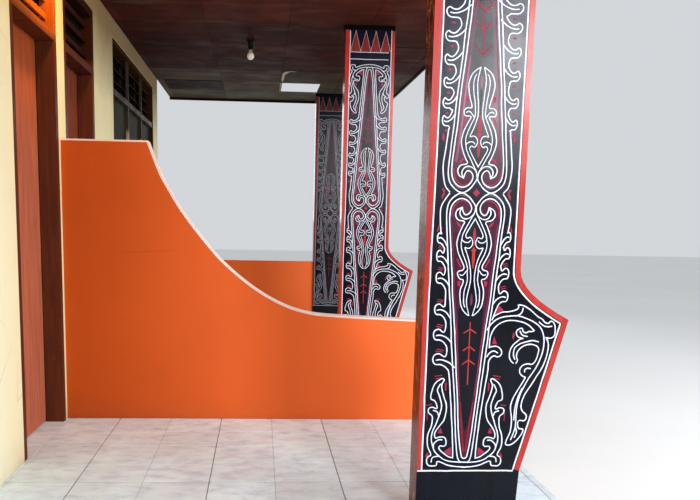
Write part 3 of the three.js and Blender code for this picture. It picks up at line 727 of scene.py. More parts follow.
# Long straight lines have a point every so many millimetres
UP_STEP, ACROSS_STEP = 60, 30
BASE_LINE_U = (4, 400)

STEM_INNER = [
    (0, 239), (8, 242), (12, 252), (21, 300), (31, 400), (39, 500), (48, 600), (56, 700), (66, 800),
    (76, 900), (83, 1000), (92, 1100), (100, 1180)
]
STEM_MIDDLE = [
    (14, 222), (22, 232), (28, 250), (35, 300), (43, 400), (51, 500), (61, 600), (71, 700), (79, 800),
    (88, 900), (97, 1000), (105, 1100), (112, 1180)
]
STEM_OUTER = [
    (46, 241), (49, 300), (57, 400), (67, 500), (80, 600), (92, 700), (100, 800), (105, 900), (110, 1000),
    (118, 1100), (124, 1160)
]
# Volute at the top of each stem: the two lines of its band, its middle, and the leaf that ends it
VOLUTE_OUTER = [
    (114, 1230), (105, 1266), (80, 1292), (55, 1301), (32, 1290), (12, 1268), (0, 1243), (6, 1222),
    (21, 1206), (39, 1201), (54, 1209), (61, 1227), (53, 1246)
]
VOLUTE_INNER = [
    (101, 1219), (95, 1251), (76, 1274), (53, 1280), (30, 1269), (17, 1245), (22, 1226), (37, 1217),
    (47, 1226), (53, 1246)
]
VOLUTE_BAND = [
    (106, 1190), (108, 1225), (100, 1258), (78, 1283), (54, 1290), (31, 1280), (14, 1256), (14, 1226),
    (30, 1211), (47, 1214), (54, 1230)
]
VOLUTE_LEAF = [(53, 1246), (71, 1236), (77, 1215), (66, 1198)]
# End of the stem's outer line at the knot, for the lower (False) and the upper half (True)
KNOT = {
    False: [(133, 1150), (137, 1185), (139, 1235), (130, 1262), (106, 1298)],
    True: [(120, 1062), (122, 1085), (128, 1137), (135, 1196), (132, 1241), (123, 1280), (106, 1300)],
}
# Lyre between the stems, from its shoulder down to its tip, with an ear at the waist
LYRE_OUTER = [
    (42, 1190), (48, 1175), (56, 1157), (63, 1138), (68, 1116), (68, 1100), (64, 1080), (59, 1065),
    (51, 1049), (43, 1033), (37, 1019), (37, 1009), (44, 1002), (52, 1001), (58, 998), (61, 990), (58, 980),
    (53, 972), (46, 968), (37, 966), (37, 955), (42, 940), (46, 923), (47, 905), (45, 885), (42, 867),
    (35, 850), (26, 838), (15, 828), (7, 824)
]
LYRE_MIDDLE = [
    (1, 1243), (5, 1222), (11, 1210), (22, 1191), (32, 1171), (41, 1155), (48, 1137), (51, 1118),
    (52, 1103), (50, 1088), (44, 1069), (37, 1052), (30, 1037), (25, 1022), (22, 1009), (22, 990),
    (20, 968), (22, 952), (27, 935), (31, 918), (32, 900), (32, 884), (30, 870), (25, 857)
]
LYRE_INNER = [
    (7, 824), (10, 837), (14, 849), (18, 866), (20, 882), (19, 898), (15, 918), (11, 938), (8, 955),
    (7, 972), (8, 990), (11, 1010), (15, 1030), (20, 1050), (27, 1068), (35, 1086), (36, 1091), (24, 1088),
    (15, 1091), (9, 1098), (6, 1110), (8, 1120), (13, 1128), (19, 1131), (25, 1127), (31, 1128), (35, 1136),
    (31, 1149), (21, 1167), (10, 1186), (0, 1203)
]
HIGH_LYRE_OUTER = LYRE_OUTER[:10] + [
    (36, 1022), (36, 1015), (44, 1014), (57, 1013), (62, 1004), (61, 992), (50, 984), (35, 983), (35, 971),
    (41, 952), (47, 924), (50, 901), (47, 880), (37, 857), (21, 842), (7, 834)
]
HIGH_LYRE_MIDDLE = LYRE_MIDDLE[:13] + [
    (22, 1020), (19, 1003), (21, 979), (24, 952), (29, 928), (31, 906), (31, 886), (27, 868), (22, 860)
]
HIGH_LYRE_INNER = [
    (7, 834), (10, 847), (13, 862), (16, 878), (16, 900), (14, 922), (12, 948), (9, 975), (8, 1000),
    (10, 1020), (15, 1036)
] + LYRE_INNER[13:]
HIGH_LYRE_EAR = [(23, 1019), (31, 1007), (38, 1000), (46, 997), (53, 1001)]
LYRE_EAR = [(26, 1001), (33, 991), (39, 985), (46, 983), (51, 986)]
LYRE_BUD = [(50, 1121), (44, 1115), (37, 1111), (29, 1110), (21, 1112), (16, 1118)]
BASE_LEAF = [
    (46, 241), (64, 246), (82, 258), (99, 273), (105, 284), (99, 291), (85, 290), (77, 296), (76, 308),
    (79, 320), (87, 327), (97, 328), (109, 326), (120, 323), (123, 346), (107, 374), (89, 399), (81, 433),
    (82, 465), (91, 492), (101, 524), (103, 545), (96, 567), (119, 560), (135, 542), (144, 510), (144, 485),
    (130, 478), (121, 460), (121, 446), (137, 451), (153, 446), (154, 430), (139, 415), (137, 396),
    (141, 369), (151, 342), (154, 315), (150, 285), (137, 254), (150, 243), (152, 222), (143, 209),
    (128, 207), (113, 211), (110, 226), (96, 224), (69, 212), (37, 205), (0, 202)
]
BASE_BAND = [
    (0, 223), (37, 224), (67, 229), (87, 237), (102, 249), (112, 257), (122, 269), (128, 284), (126, 298),
    (117, 309), (105, 316), (93, 316)
]
BASE_FOOT = [(134, 224), (131, 240), (120, 247), (104, 249)]
LEAF_RIB = [
    (129, 286), (136, 312), (136, 336), (131, 358), (121, 382), (114, 404), (104, 433), (101, 464),
    (111, 500), (120, 523), (109, 546)
]
LEAF_HOOK_RIB = [(134, 438), (119, 432), (110, 412)]
# A hook on the stem, as (share of the way from the stem to HOOK_TIP, height)
HOOK = {
    False: [(-0.02, -44), (0.16, -26), (0.48, -15), (0.85, -13), (1.0, 4), (0.90, 22), (0.55, 28),
    (0.18, 17), (0.04, 27)],
    True: [(-0.04, -38), (0.12, -19), (0.38, -9), (0.63, -11), (0.82, -17), (1.0, -7), (0.96, 9),
    (0.74, 19), (0.26, 21), (0.10, 27)],
}
LAST_HOOK = [
    (-0.02, -38), (0.20, -24), (0.50, -16), (0.85, -13), (1.0, 3), (0.88, 19), (0.60, 23), (0.36, 19)
]
HOOK_RIB = [(0.76, 3), (0.52, 5), (0.22, 2), (-0.12, -8), (-0.42, -26)]
HOOKS = {
    "left_low": (640, 740, 840, 965, 1050, 1122),
    "right_low": (895, 985, 1065, 1130),
    "left_high": (636, 721, 806, 891, 966, 1031),
    "right_high": (616, 686, 776, 861, 961, 1041),
}
# Under the wing the stem's outer line ends in one hook, and starts again over the wing
LOW_HOOK = [
    (80, 600), (82, 640), (93, 658), (105, 663), (117, 659), (129, 664), (134, 678), (126, 693), (111, 701),
    (93, 700), (83, 697)
]
LOW_HOOK_RIB = [(74, 660), (82, 672), (93, 681), (105, 682), (117, 675)]
WING_START = (88, 808)
WING = [
    # The arm of the scroll: inner line to the side shoot, middle line, outer line
    [(274, 696), (274, 712), (276, 739), (285, 763), (297, 781), (315, 796), (339, 805), (366, 806),
     (393, 802), (414, 796), (434, 784), (452, 766)],
    [(262, 766), (270, 781), (285, 799), (300, 811), (324, 820), (354, 824), (384, 824), (417, 815),
     (450, 800), (478, 776), (492, 745), (495, 710), (490, 672), (478, 636), (462, 604), (442, 574),
     (424, 540), (408, 500), (398, 450), (398, 400), (397, 364), (382, 319)],
    [(502, 738), (511, 722), (514, 700), (511, 672), (503, 640), (490, 610), (475, 584), (463, 562),
     (452, 544), (432, 512), (419, 478), (417, 452), (424, 436), (440, 418), (434, 398), (409, 396),
     (412, 366), (430, 360), (416, 328), (389, 301), (364, 297), (362, 310), (378, 351), (380, 405),
     (373, 455), (382, 492), (398, 522), (414, 550), (426, 574)],
    # The leaf along the top, which ends in a bud in the corner
    [(279, 808), (288, 823), (303, 832), (321, 839), (345, 841), (369, 847), (381, 853), (384, 862),
     (381, 867), (396, 867), (412, 862), (432, 850), (450, 835), (466, 821), (481, 813), (493, 800),
     (508, 796), (517, 805), (526, 803), (535, 790), (538, 762), (535, 745), (522, 736), (502, 738)],
    [(374, 824), (390, 830), (399, 841), (402, 855)],
    [(470, 800), (481, 791), (493, 784), (508, 782), (523, 785)],
    # The side shoot inside the scroll
    [(452, 766), (440, 762), (430, 763), (423, 758), (414, 758), (407, 764), (402, 775), (390, 772),
     (381, 763), (381, 751), (389, 739), (408, 734)],
    [(408, 734), (396, 730), (381, 717), (369, 705), (360, 687), (357, 664), (363, 645), (374, 634)],
    [(395, 763), (402, 751), (411, 745), (426, 743)],
    [(471, 722), (448, 727), (420, 720), (402, 714), (387, 705), (378, 696), (374, 683), (374, 664),
     (380, 650)],
    [(385, 634), (391, 646), (386, 660), (387, 674), (393, 687), (405, 699), (422, 708), (448, 711),
     (473, 697), (473, 670), (465, 644), (452, 630), (434, 632), (416, 627), (404, 614), (402, 597),
     (411, 583), (426, 576)],
    [(446, 612), (434, 614), (423, 607), (423, 598)],
    # Veins of the leaf that hangs below it
    [(416, 530), (400, 490), (391, 446), (390, 400)],
    [(398, 372), (404, 350), (396, 328)],
]
# Fields under the lines: the maroon field's shoulder, the lyre's ends on the centre line, the streak
# in the foot of the V, the black above it, arrows and drops
FIELD_SHOULDER = (110, 1230)
LYRE_AXIS = [(0, 834), (0, 1240)]
FOOT_STREAK = [(5, 270), (8, 300), (13, 350), (19, 410), (25, 470)]
BLACK_FIELD = {
    False: [(0, 352), (8, 372), (19, 430), (28, 520), (36, 600), (43, 700), (49, 790), (50, 852), (36, 862),
    (0, 850)],
    True: [(0, 470), (10, 520), (24, 600), (33, 700), (42, 790), (47, 852), (36, 862), (0, 850)],
}
ARROW = {False: (545, 797), True: (594, 789)}
ARROW_HEADS = {False: (770, 700, 645), True: (789, 701, 634)}
ARROW_ARM = {False: (24, 17), True: (29, 33)}
NECK_DROP = [(0, 1172), (5, 1152), (6, 1136), (2, 1116), (2, 1098), (0, 1098)]
NECK_ARROW = [(0, 1096), (4, 1088), (11, 1080), (6, 1076), (6, 1045), (3, 1014), (0, 1008)]
VOLUTE_LEAF_FIELD = [
    (53, 1246), (71, 1236), (77, 1215), (66, 1198), (42, 1190), (14, 1208), (39, 1201), (54, 1209),
    (61, 1227)
]
TIP_DROP = [(0, 914), (4, 898), (5, 880), (3, 866), (0, 864)]
KNOT_DIAMOND = [(-14, 1302), (0, 1287), (14, 1302), (0, 1318)]
# Small crimson touches, as closed shapes beside the lines
TOUCHES = [
    [(55, 287), (55, 250), (70, 256), (85, 267)],
    [(93, 343), (113, 344), (101, 368)],
    [(149, 266), (159, 250), (150, 234), (145, 248)],
    [(47, 962), (60, 958), (58, 943), (50, 937)],
    [(76, 1191), (66, 1188), (55, 1174), (58, 1169), (69, 1179)],
    [(64, 1050), (67, 1044), (50, 1012), (46, 1014)],
    [(84, 556), (91, 548), (90, 522), (85, 518)],
]
LOW_TOUCHES = [
    [(141, 1178), (147, 1165), (150, 1150), (143, 1153)],
    [(122, 1301), (130, 1301), (136, 1288), (134, 1275)],
]
HIGH_TOUCHES = [
    [(137, 1112), (144, 1098), (140, 1076), (134, 1090)],
    [(122, 1301), (130, 1301), (137, 1290), (131, 1286)],
]
WING_TOUCHES = [
    [(301, 868), (293, 856), (290, 840), (294, 832), (306, 835), (321, 841), (322, 848), (312, 858)],
    [(291, 742), (284, 711), (304, 710)],
    [(368, 760), (374, 748), (370, 728), (365, 740)],
]
HOOK_BARS = [[(0.30, 36), (0.80, 39)], [(0.20, 43), (0.70, 47)]]
LEAF_BARS = [
    [(104, 582), (134, 578)], [(108, 571), (130, 568)], [(141, 463), (162, 459)], [(159, 430), (158, 398)]
]
HOOK_DROP = [(0.34, 39), (0.47, 35), (0.70, 37), (0.60, 42), (0.44, 43)]
# Start, control and end of the two curves of the wing's edge
WING_CURVES = [((POST_W / MM, WING_TOP_Z), (386, 915), (590, 811)), ((590, 811), (514, 517), (424, 187))]


def spline(points, step=3.0):
    """A smooth line through the points, thinned where it runs straight."""
    least_turn, longest = math.radians(4), 22
    points = [Vector(p) for p in points]
    ends = [points[0] * 2 - points[1], *points, points[-1] * 2 - points[-2]]
    dense = []
    for a, b, c, d in zip(ends, ends[1:], ends[2:], ends[3:]):
        reach = (c - b).length
        count = max(2, int(reach / step))
        first = (c - a).normalized() * reach
        last = (d - b).normalized() * reach
        for i in range(count):
            t = i / count
            dense.append(b * (2 * t ** 3 - 3 * t ** 2 + 1) + first * (t ** 3 - 2 * t ** 2 + t)
                         + c * (3 * t ** 2 - 2 * t ** 3) + last * (t ** 3 - t ** 2))
    dense.append(points[-1])
    kept = [dense[0]]
    for here, after in zip(dense[1:], dense[2:]):
        run = here - kept[-1]
        if run.angle(after - here, 0) > least_turn or run.length > longest:
            kept.append(here)
    return [*kept, dense[-1]]


# Keeps a sharp corner from being moved too far
LEAST_LEAN = 0.4


def inset_path(points, distance):
    """The same open path moved to its left by a distance."""
    moved = []
    for i, here in enumerate(points):
        before = points[max(i - 1, 0)]
        after = points[min(i + 1, len(points) - 1)]
        first = (here - before).normalized() if i else (after - here).normalized()
        last = (after - here).normalized() if i < len(points) - 1 else first
        run = (first + last).normalized()
        lean = max(LEAST_LEAN, run.dot(first))
        moved.append(here + Vector((-run.y, run.x)) * distance / lean)
    return moved


def quadratic(start, control, end, count=14):
    start, control, end = Vector(start), Vector(control), Vector(end)
    steps = [i / count for i in range(1, count + 1)]
    return [start * (1 - t) ** 2 + control * (2 * t * (1 - t)) + end * t * t for t in steps]


class Relief:
    """Raised paint on one post face, as (u, z, height) with a material for each face."""

    SECTION = ((-1.0, -0.4), (-0.92, 0.55), (0.0, 1.0), (0.92, 0.55), (1.0, -0.4))
    SUNK = -0.4
    # Each end of a line is rounded by two rings: (share of the width, share of the reach)
    TIP = ((0.45, 0.9), (0.82, 0.5))
    STRAY, STRAY_EVERY = 1.6, 60
    SEED_STEP, SECOND_NOISE = 7.3, 31
    SWELL, SWELL_EVERY = 0.22, 25

    def __init__(self, seed):
        self.verts, self.faces, self.indices = [], [], []
        self.seed = seed

    def wander(self, point):
        """A hand-painted line strays a little from the stencil."""
        near = Vector((point.x / self.STRAY_EVERY, point.y / self.STRAY_EVERY, self.seed * self.SEED_STEP))
        apart = Vector((self.SECOND_NOISE, 0, 0))
        return point + Vector((noise.noise(near), noise.noise(near + apart))) * self.STRAY

    def ribbon(self, points, paint, width=LINE_W, height=LINE_H):
        path = [self.wander(p) for p in points]
        runs = [(after - before).normalized()
                for before, after in zip([path[0], *path[:-1]], [*path[1:], path[-1]])]
        half = width / 2
        rings = [(path[0] - runs[0] * half * out, runs[0], scale) for scale, out in self.TIP]
        for place, run in zip(path, runs):
            swell = noise.noise(Vector((place.x / self.SWELL_EVERY, place.y / self.SWELL_EVERY, self.seed)))
            rings.append((place, run, 1 + self.SWELL * swell))
        rings += [(path[-1] + runs[-1] * half * out, runs[-1], scale) for scale, out in self.TIP[::-1]]
        start = len(self.verts)
        for place, run, scale in rings:
            side = Vector((-run.y, run.x)) * half * scale
            for across, rise in self.SECTION:
                lift = rise * height if rise > 0 else rise
                self.verts.append((place.x + side.x * across, place.y + side.y * across, lift))
        count = len(self.SECTION)
        last = start + (len(rings) - 1) * count
        for ring in range(start, last, count):
            for j in range(count):
                a, b = ring + j, ring + (j + 1) % count
                self.faces.append((a, b, b + count, a + count))
        self.faces.append(tuple(start + j for j in reversed(range(count))))
        self.faces.append(tuple(last + j for j in range(count)))
        self.paint_new(paint)

    def panel(self, outline, paint, height=BORDER_H):
        """A filled field of paint with a short skirt."""
        flat = [Vector((p[0], p[1], 0)) for p in outline]
        area = sum(a.x * b.y - b.x * a.y for a, b in zip(flat, flat[1:] + flat[:1]))
        if area < 0:
            flat.reverse()
        start, count = len(self.verts), len(flat)
        self.verts.extend((p.x, p.y, height) for p in flat)
        self.verts.extend((p.x, p.y, self.SUNK) for p in flat)
        for triangle in tessellate_polygon([flat]):
            a, b, c = (flat[i] for i in triangle)
            turned = (b - a).cross(c - a).z < 0
            order = triangle[::-1] if turned else triangle
            self.faces.append(tuple(start + i for i in order))
            self.faces.append(tuple(start + count + i for i in reversed(order)))
        for i in range(count):
            j = (i + 1) % count
            self.faces.append((start + i, start + count + i, start + count + j, start + j))
        self.paint_new(paint)

    def paint_new(self, paint):
        self.indices.extend([paint] * (len(self.faces) - len(self.indices)))


def on_side(points, side, flipped):
    """Places on the face, left or right of the centre line, low or mirrored high."""
    return [Vector((CENTRE + side * s, 2 * MIRROR_Z - z if flipped else z)) for s, z in points]


def value_at(pairs, z):
    """The value at a height, between the pairs of (value, height)."""
    for (s0, z0), (s1, z1) in zip(pairs, pairs[1:]):
        if z <= z1:
            return s0 + (s1 - s0) * (z - z0) / (z1 - z0)
    return pairs[-1][0]


def hook_points(shape, z0):
    places = []
    for share, dz in shape:
        stem = value_at(STEM_OUTER, z0 + dz)
        places.append((stem + share * (HOOK_TIP - stem), z0 + dz))
    return places


def outer_line(hooks, flipped, start):
    """The stem's outer line with a hook at each height, then on to the knot."""
    after_hook, before_hook = 20, 15
    points = [start]
    for z0 in hooks:
        shape = LAST_HOOK if z0 == hooks[-1] and not flipped else HOOK[flipped]
        low, high = points[-1][1] + after_hook, z0 + shape[0][1] - before_hook
        points += [(s, z) for s, z in STEM_OUTER if low < z < high]
        points += hook_points(shape, z0)
    return points + KNOT[flipped]


def side_ornament(relief, side, flipped, hooks):
    def line(points, paint=WHITE, width=LINE_W, height=LINE_H):
        relief.ribbon(spline(on_side(points, side, flipped)), paint, width, height)

    def field(points):
        relief.panel(on_side(points, side, flipped), CRIMSON, PAINT_H)

    line(STEM_INNER + VOLUTE_INNER)
    line(STEM_MIDDLE + VOLUTE_OUTER)
    line(VOLUTE_LEAF + (HIGH_LYRE_OUTER if flipped else LYRE_OUTER))
    for points in (HIGH_LYRE_MIDDLE if flipped else LYRE_MIDDLE, HIGH_LYRE_INNER if flipped else LYRE_INNER,
                   HIGH_LYRE_EAR if flipped else LYRE_EAR, LYRE_BUD, BASE_LEAF, BASE_BAND, BASE_FOOT,
                   LEAF_RIB, LEAF_HOOK_RIB):
        line(points)
    wing_side = side > 0 and not flipped
    if wing_side:
        line(STEM_OUTER[:4] + LOW_HOOK)
        line(LOW_HOOK_RIB)
    line(outer_line(hooks, flipped, WING_START if wing_side else STEM_OUTER[0]))
    for z0 in hooks:
        line(hook_points(HOOK_RIB, z0))
        if flipped:
            field(hook_points(HOOK_DROP, z0))
        else:
            for bar in HOOK_BARS:
                line(hook_points(bar, z0), CRIMSON, BAR_W, PAINT_H)

    rose_width = HIGH_STREAK_W[side] if flipped else STREAK_W
    for paint, width, run in ((CRIMSON, STREAK_W, STEM_INNER[5:9]), (ROSE, rose_width, STEM_INNER[8:])):
        beside_stem = [(max(s - width / 2 - STREAK_GAP, STREAK_LEAST), z) for s, z in run]
        line(beside_stem, ROSE if flipped else paint, width, STREAK_H)
    for bar in LEAF_BARS:
        line(bar, CRIMSON, BAR_W, PAINT_H)
    inward, down = VOLUTE_STREAK_SHIFT
    line([(s - inward, z - down) for s, z in VOLUTE_INNER[:5]], CRIMSON, VOLUTE_STREAK_W, PAINT_H)
    for shape in TOUCHES + (HIGH_TOUCHES if flipped else LOW_TOUCHES):
        field(shape)


def field_ornament(relief, flipped):
    """Maroon field inside the stems, with a black lyre and arrows on it."""
    left, right = (spline(on_side(STEM_INNER + [FIELD_SHOULDER, *VOLUTE_OUTER[1:7]], side, flipped))
                   for side in (-1, 1))
    relief.panel(left + right[::-1], MAROON, MAROON_H)
    arrow_paint = CRIMSON if flipped else RED
    lyre = (HIGH_LYRE_OUTER if flipped else LYRE_OUTER) + LYRE_AXIS
    across, back = ARROW_ARM[flipped]
    for side in (-1, 1):
        relief.ribbon(spline(on_side(VOLUTE_BAND, side, flipped)), BLACK, VOLUTE_BAND_W, VOLUTE_H)
        relief.panel(on_side(VOLUTE_LEAF_FIELD, side, flipped), BLACK, LEAF_FIELD_H)
        relief.panel(spline(on_side(lyre, side, flipped), 5), BLACK, LYRE_H)
        relief.panel(on_side(BLACK_FIELD[flipped], side, flipped), BLACK, BLACK_H)
        relief.ribbon(spline(on_side(FOOT_STREAK, side, flipped)), ROSE if flipped else DEEP_RED,
                      FOOT_STREAK_W, PAINT_H)
        for drop, paint in ((NECK_DROP, CRIMSON), (NECK_ARROW, arrow_paint), (TIP_DROP, ROSE)):
            relief.panel(on_side(drop, side, flipped), paint, DROP_H)
        for head in ARROW_HEADS[flipped]:
            arm = [(0, head), (across, head - back)]
            relief.ribbon(on_side(arm, side, flipped), arrow_paint, ARROW_W)
    relief.ribbon(on_side([(0, z) for z in ARROW[flipped]], 1, flipped), arrow_paint, ARROW_W)


def post_edge():
    """Garden edge of the post, from its top down to the base line."""
    points = [Vector((POST_W / MM, BAND_TOP)), Vector((POST_W / MM, WING_TOP_Z))]
    for start, control, end in WING_CURVES:
        points += quadratic(start, control, end)
    return points


def house_line(z):
    """Distance of the white line from the house edge, which grows with height."""
    return value_at(HOUSE_LINE, z)


def border_ornament(relief):
    """Red bands along both edges, the white lines beside them, and the teeth at the top."""
    inner = [(u - UNDER_LINE, z) for u, z in HOUSE_LINE]
    relief.panel([(EDGE_MARGIN, BASE_LINE_Z), *inner, (EDGE_MARGIN, BAND_TOP)], RED)
    edge = post_edge()
    band = inset_path(edge, -EDGE_MARGIN) + inset_path(edge, -BAND_W)[::-1]
    relief.panel([(p.x, max(p.y, BASE_LINE_Z)) for p in band], RED)
    line = [Vector((p.x, max(p.y, BASE_LINE_Z))) for p in inset_path(edge, -EDGE_LINE)]
    relief.ribbon(line, WHITE, EDGE_LINE_W)
    line = [Vector((house_line(z), z)) for z in range(BASE_LINE_Z, BAND_TOP, UP_STEP)]
    relief.ribbon(line, WHITE, EDGE_LINE_W)
    line = [Vector((u, BASE_LINE_Z)) for u in range(*BASE_LINE_U, ACROSS_STEP)]
    relief.ribbon(line, WHITE, EDGE_LINE_W)
    right = POST_W / MM - EDGE_LINE
    for z in TOP_LINES_Z:
        line = [Vector((u, z)) for u in range(int(house_line(z)), int(right) + 1, ACROSS_STEP)]
        relief.ribbon(line, WHITE)
    foot = TOP_LINES_Z[1] + TOOTH_MARGIN
    left = house_line(foot) + TOOTH_MARGIN
    width = (right - TOOTH_MARGIN - left) / TEETH
    for i in range(TEETH):
        low, high = left + i * width, left + (i + 1) * width
        apex = Vector(((low + high) / 2, TOOTH_APEX_Z))
        relief.panel([(low, foot), (high, foot), apex], DEEP_RED)
        for corner in (low, high):
            relief.ribbon([Vector((corner, foot)), apex], WHITE, TOOTH_LINE_W, TOOTH_LINE_H)


def make_ornament(number, low, high):
    relief = Relief(number)
    border_ornament(relief)
    relief.panel([(CENTRE + s, z) for s, z in KNOT_DIAMOND], CRIMSON)
    for flipped, level in ((False, "low"), (True, "high")):
        field_ornament(relief, flipped)
        side_ornament(relief, -1, flipped, HOOKS["left_" + level])
        side_ornament(relief, 1, flipped, HOOKS["right_" + level])
    for points in WING:
        relief.ribbon(spline(points), WHITE)
    for shape in WING_TOUCHES:
        relief.panel(shape, CRIMSON, PAINT_H)
    verts, faces, indices = [], [], []
    for out, y_face in ((-1, low.y), (1, high.y)):
        start = len(verts)
        for u, z, height in relief.verts:
            verts.append((POST_X + u * MM, y_face + out * height * MM, FLOOR + z * MM))
        for polygon in relief.faces:
            order = polygon if out < 0 else polygon[::-1]
            faces.append([start + i for i in order])
        indices += relief.indices
    piece = make_object(f"post_ornament_{number}", verts, faces, PAINTS, indices)
    piece.data.polygons.foreach_set("use_smooth", [i == WHITE for i in indices])
    finish_piece(piece)


# Ceiling boards

BOARD_Y = 0.642
BOARD_X = 0.634
BOARD_X0 = WALL_X + 0.072
BOARD_GAP = 0.002
BOARD_T = 0.006
CEILING_MARGIN = 0.001
POST_GAP = 0.002
HOLE_LENGTH = 0.596
HOLE_LOW = (BOARD_X0 + 2 * BOARD_X, CEILING_END - BOARD_Y - HOLE_LENGTH)
HOLE_HIGH = (POST_X, CEILING_END - BOARD_Y)
# Rows count from the far end. ROWS is more than fit, and the last tone is for all rows after it
ROWS = 30
# Far rows grey and olive, near rows brick red: the brick red is partly painted warm lamp light
ROW_TONES = (0.84, 0.68, 0.60, 0.42, 0.30, 0.26, 0.05)
TONE_SPREAD, BRIGHTEST = 0.07, 0.9
BOARD_SAG = 0.0035
BOARD_BEVEL = 0.0012
# Column and row of the board that is nearly black and hangs lower
DARK_BOARD = (1, 1)
DARK_BOARD_DROP = 0.007


def make_ceiling():
    rng = random.Random(8)
    xs = grid_lines(BOARD_X0, WALL_X + CEILING_MARGIN, EAVE_X - CEILING_MARGIN, BOARD_X)
    ys = grid_lines(CEILING_END - ROWS * BOARD_Y, -CEILING_END + CEILING_MARGIN,
                    CEILING_END - CEILING_MARGIN, BOARD_Y)
    holes = [(POST_X - POST_GAP, POST_X + POST_W + POST_GAP, low.y - POST_GAP, high.y + POST_GAP)
             for low, high in POSTS]
    holes.append((HOLE_LOW[0], HOLE_HIGH[0], HOLE_LOW[1], HOLE_HIGH[1]))
    half = BOARD_GAP / 2
    parts = Boxes()
    for column, (x0, x1) in enumerate(zip(xs, xs[1:])):
        for y0, y1 in zip(ys, ys[1:]):
            row = int((CEILING_END - (y0 + y1) / 2) / BOARD_Y)
            tone = ROW_TONES[min(row, len(ROW_TONES) - 1)] + rng.uniform(-TONE_SPREAD, TONE_SPREAD)
            tone = min(BRIGHTEST, max(0, tone))
            sag = [-rng.uniform(0, BOARD_SAG) for _ in range(4)]
            if (column, row) == DARK_BOARD:
                tone = 1.0
                sag = [-DARK_BOARD_DROP] * 4
            cells = [(x0 + half, x1 - half, y0 + half, y1 - half)]
            for hole in holes:
                cells = [part for cell in cells for part in cut_cell(cell, hole)]
            for a, b, c, d in cells:
                parts.add((a, c, CEILING), (b, d, CEILING + BOARD_T), tone, 0, 0,
                          sag if len(cells) == 1 else (0, 0, 0, 0))
    piece = parts.build("ceiling_boards", [BOARD])
    add_bevel(piece, BOARD_BEVEL, 1)
    finish_piece(piece, replaced=["ceiling_near", "ceiling_far"])


def cut_cell(cell, hole):
    """What is left of a rectangle when another is taken out of it, as up to four rectangles."""
    a, b, c, d = cell
    e, f, g, h = hole
    if e >= b or f <= a or g >= d or h <= c:
        return [cell]
    inner_a, inner_b = max(a, e), min(b, f)
    parts = ((a, e, c, d), (f, b, c, d), (inner_a, inner_b, c, g), (inner_a, inner_b, h, d))
    return [part for part in parts if part[1] > part[0] and part[3] > part[2]]


# Broken boards: fibres round the missing board, and a flake torn off beside it

SLIVERS = 46
SLIVER_T = 0.0022
SLIVER_ROOT = 0.006
SLIVER_LIFT = (0.0005, 0.003)
SLIVER_HALF_W = (0.002, 0.006)
CORNER_MARGIN = 0.01
# Middle line of the flake, as (x, y, width)
FLAKE = [(0.200, 3.604, 0.006), (0.150, 3.596, 0.022), (0.112, 3.618, 0.034), (0.088, 3.680, 0.040),
         (0.074, 3.780, 0.030), (0.070, 3.900, 0.022), (0.068, 4.030, 0.026), (0.070, 4.140, 0.018),
         (0.076, 4.220, 0.008)]
FLAKE_STEPS = 5
FLAKE_Z = CEILING - 0.0045
FLAKE_T = 0.0012
FLAKE_RAGGED = 0.007
# How far a fibre may reach from its root: fibres along the long edge, and those at the two ends
LONG_EDGE_RUN = ((0.010, 0.045), (-0.010, 0.010), (0, -0.006))
END_RUN = ((-0.012, 0.012), (0.010, 0.030), (0, -0.004))
# Chip that hangs from the board by the post
CHIP_ROOT = (HOLE_HIGH[0] - 0.035, HOLE_HIGH[1] + 0.004, CEILING + 0.001)
CHIP_RUN = (0.012, -0.045, -0.030)
CHIP_HALF_W, CHIP_T = 0.014, 0.003
# A splinter has a waist at this share of its length, with these shares of its width to each side
WAIST, WAIST_LEFT, WAIST_RIGHT = 0.6, 0.6, 0.7
# Across the flake, as (share of half its width, lift)
FLAKE_SECTION = ((1, 0), (0.3, -0.0008), (-1, 0))


def add_sliver(verts, faces, root, run, across, thick=SLIVER_T):
    """A splinter: a short wedge from its root to a point."""
    root, run, across = Vector(root), Vector(run), Vector(across)
    up = Vector((0, 0, thick))
    start = len(verts)
    waist = root + run * WAIST
    verts.extend([root - across, root + across, root + across + up, root - across + up,
                  waist - across * WAIST_LEFT, waist + across * WAIST_RIGHT, root + run])
    faces.extend([[start + i for i in face] for face in
                  ((0, 3, 2, 1), (0, 1, 5, 4), (1, 2, 5), (2, 3, 4, 5), (3, 0, 4), (4, 5, 6), (4, 6, 5))])


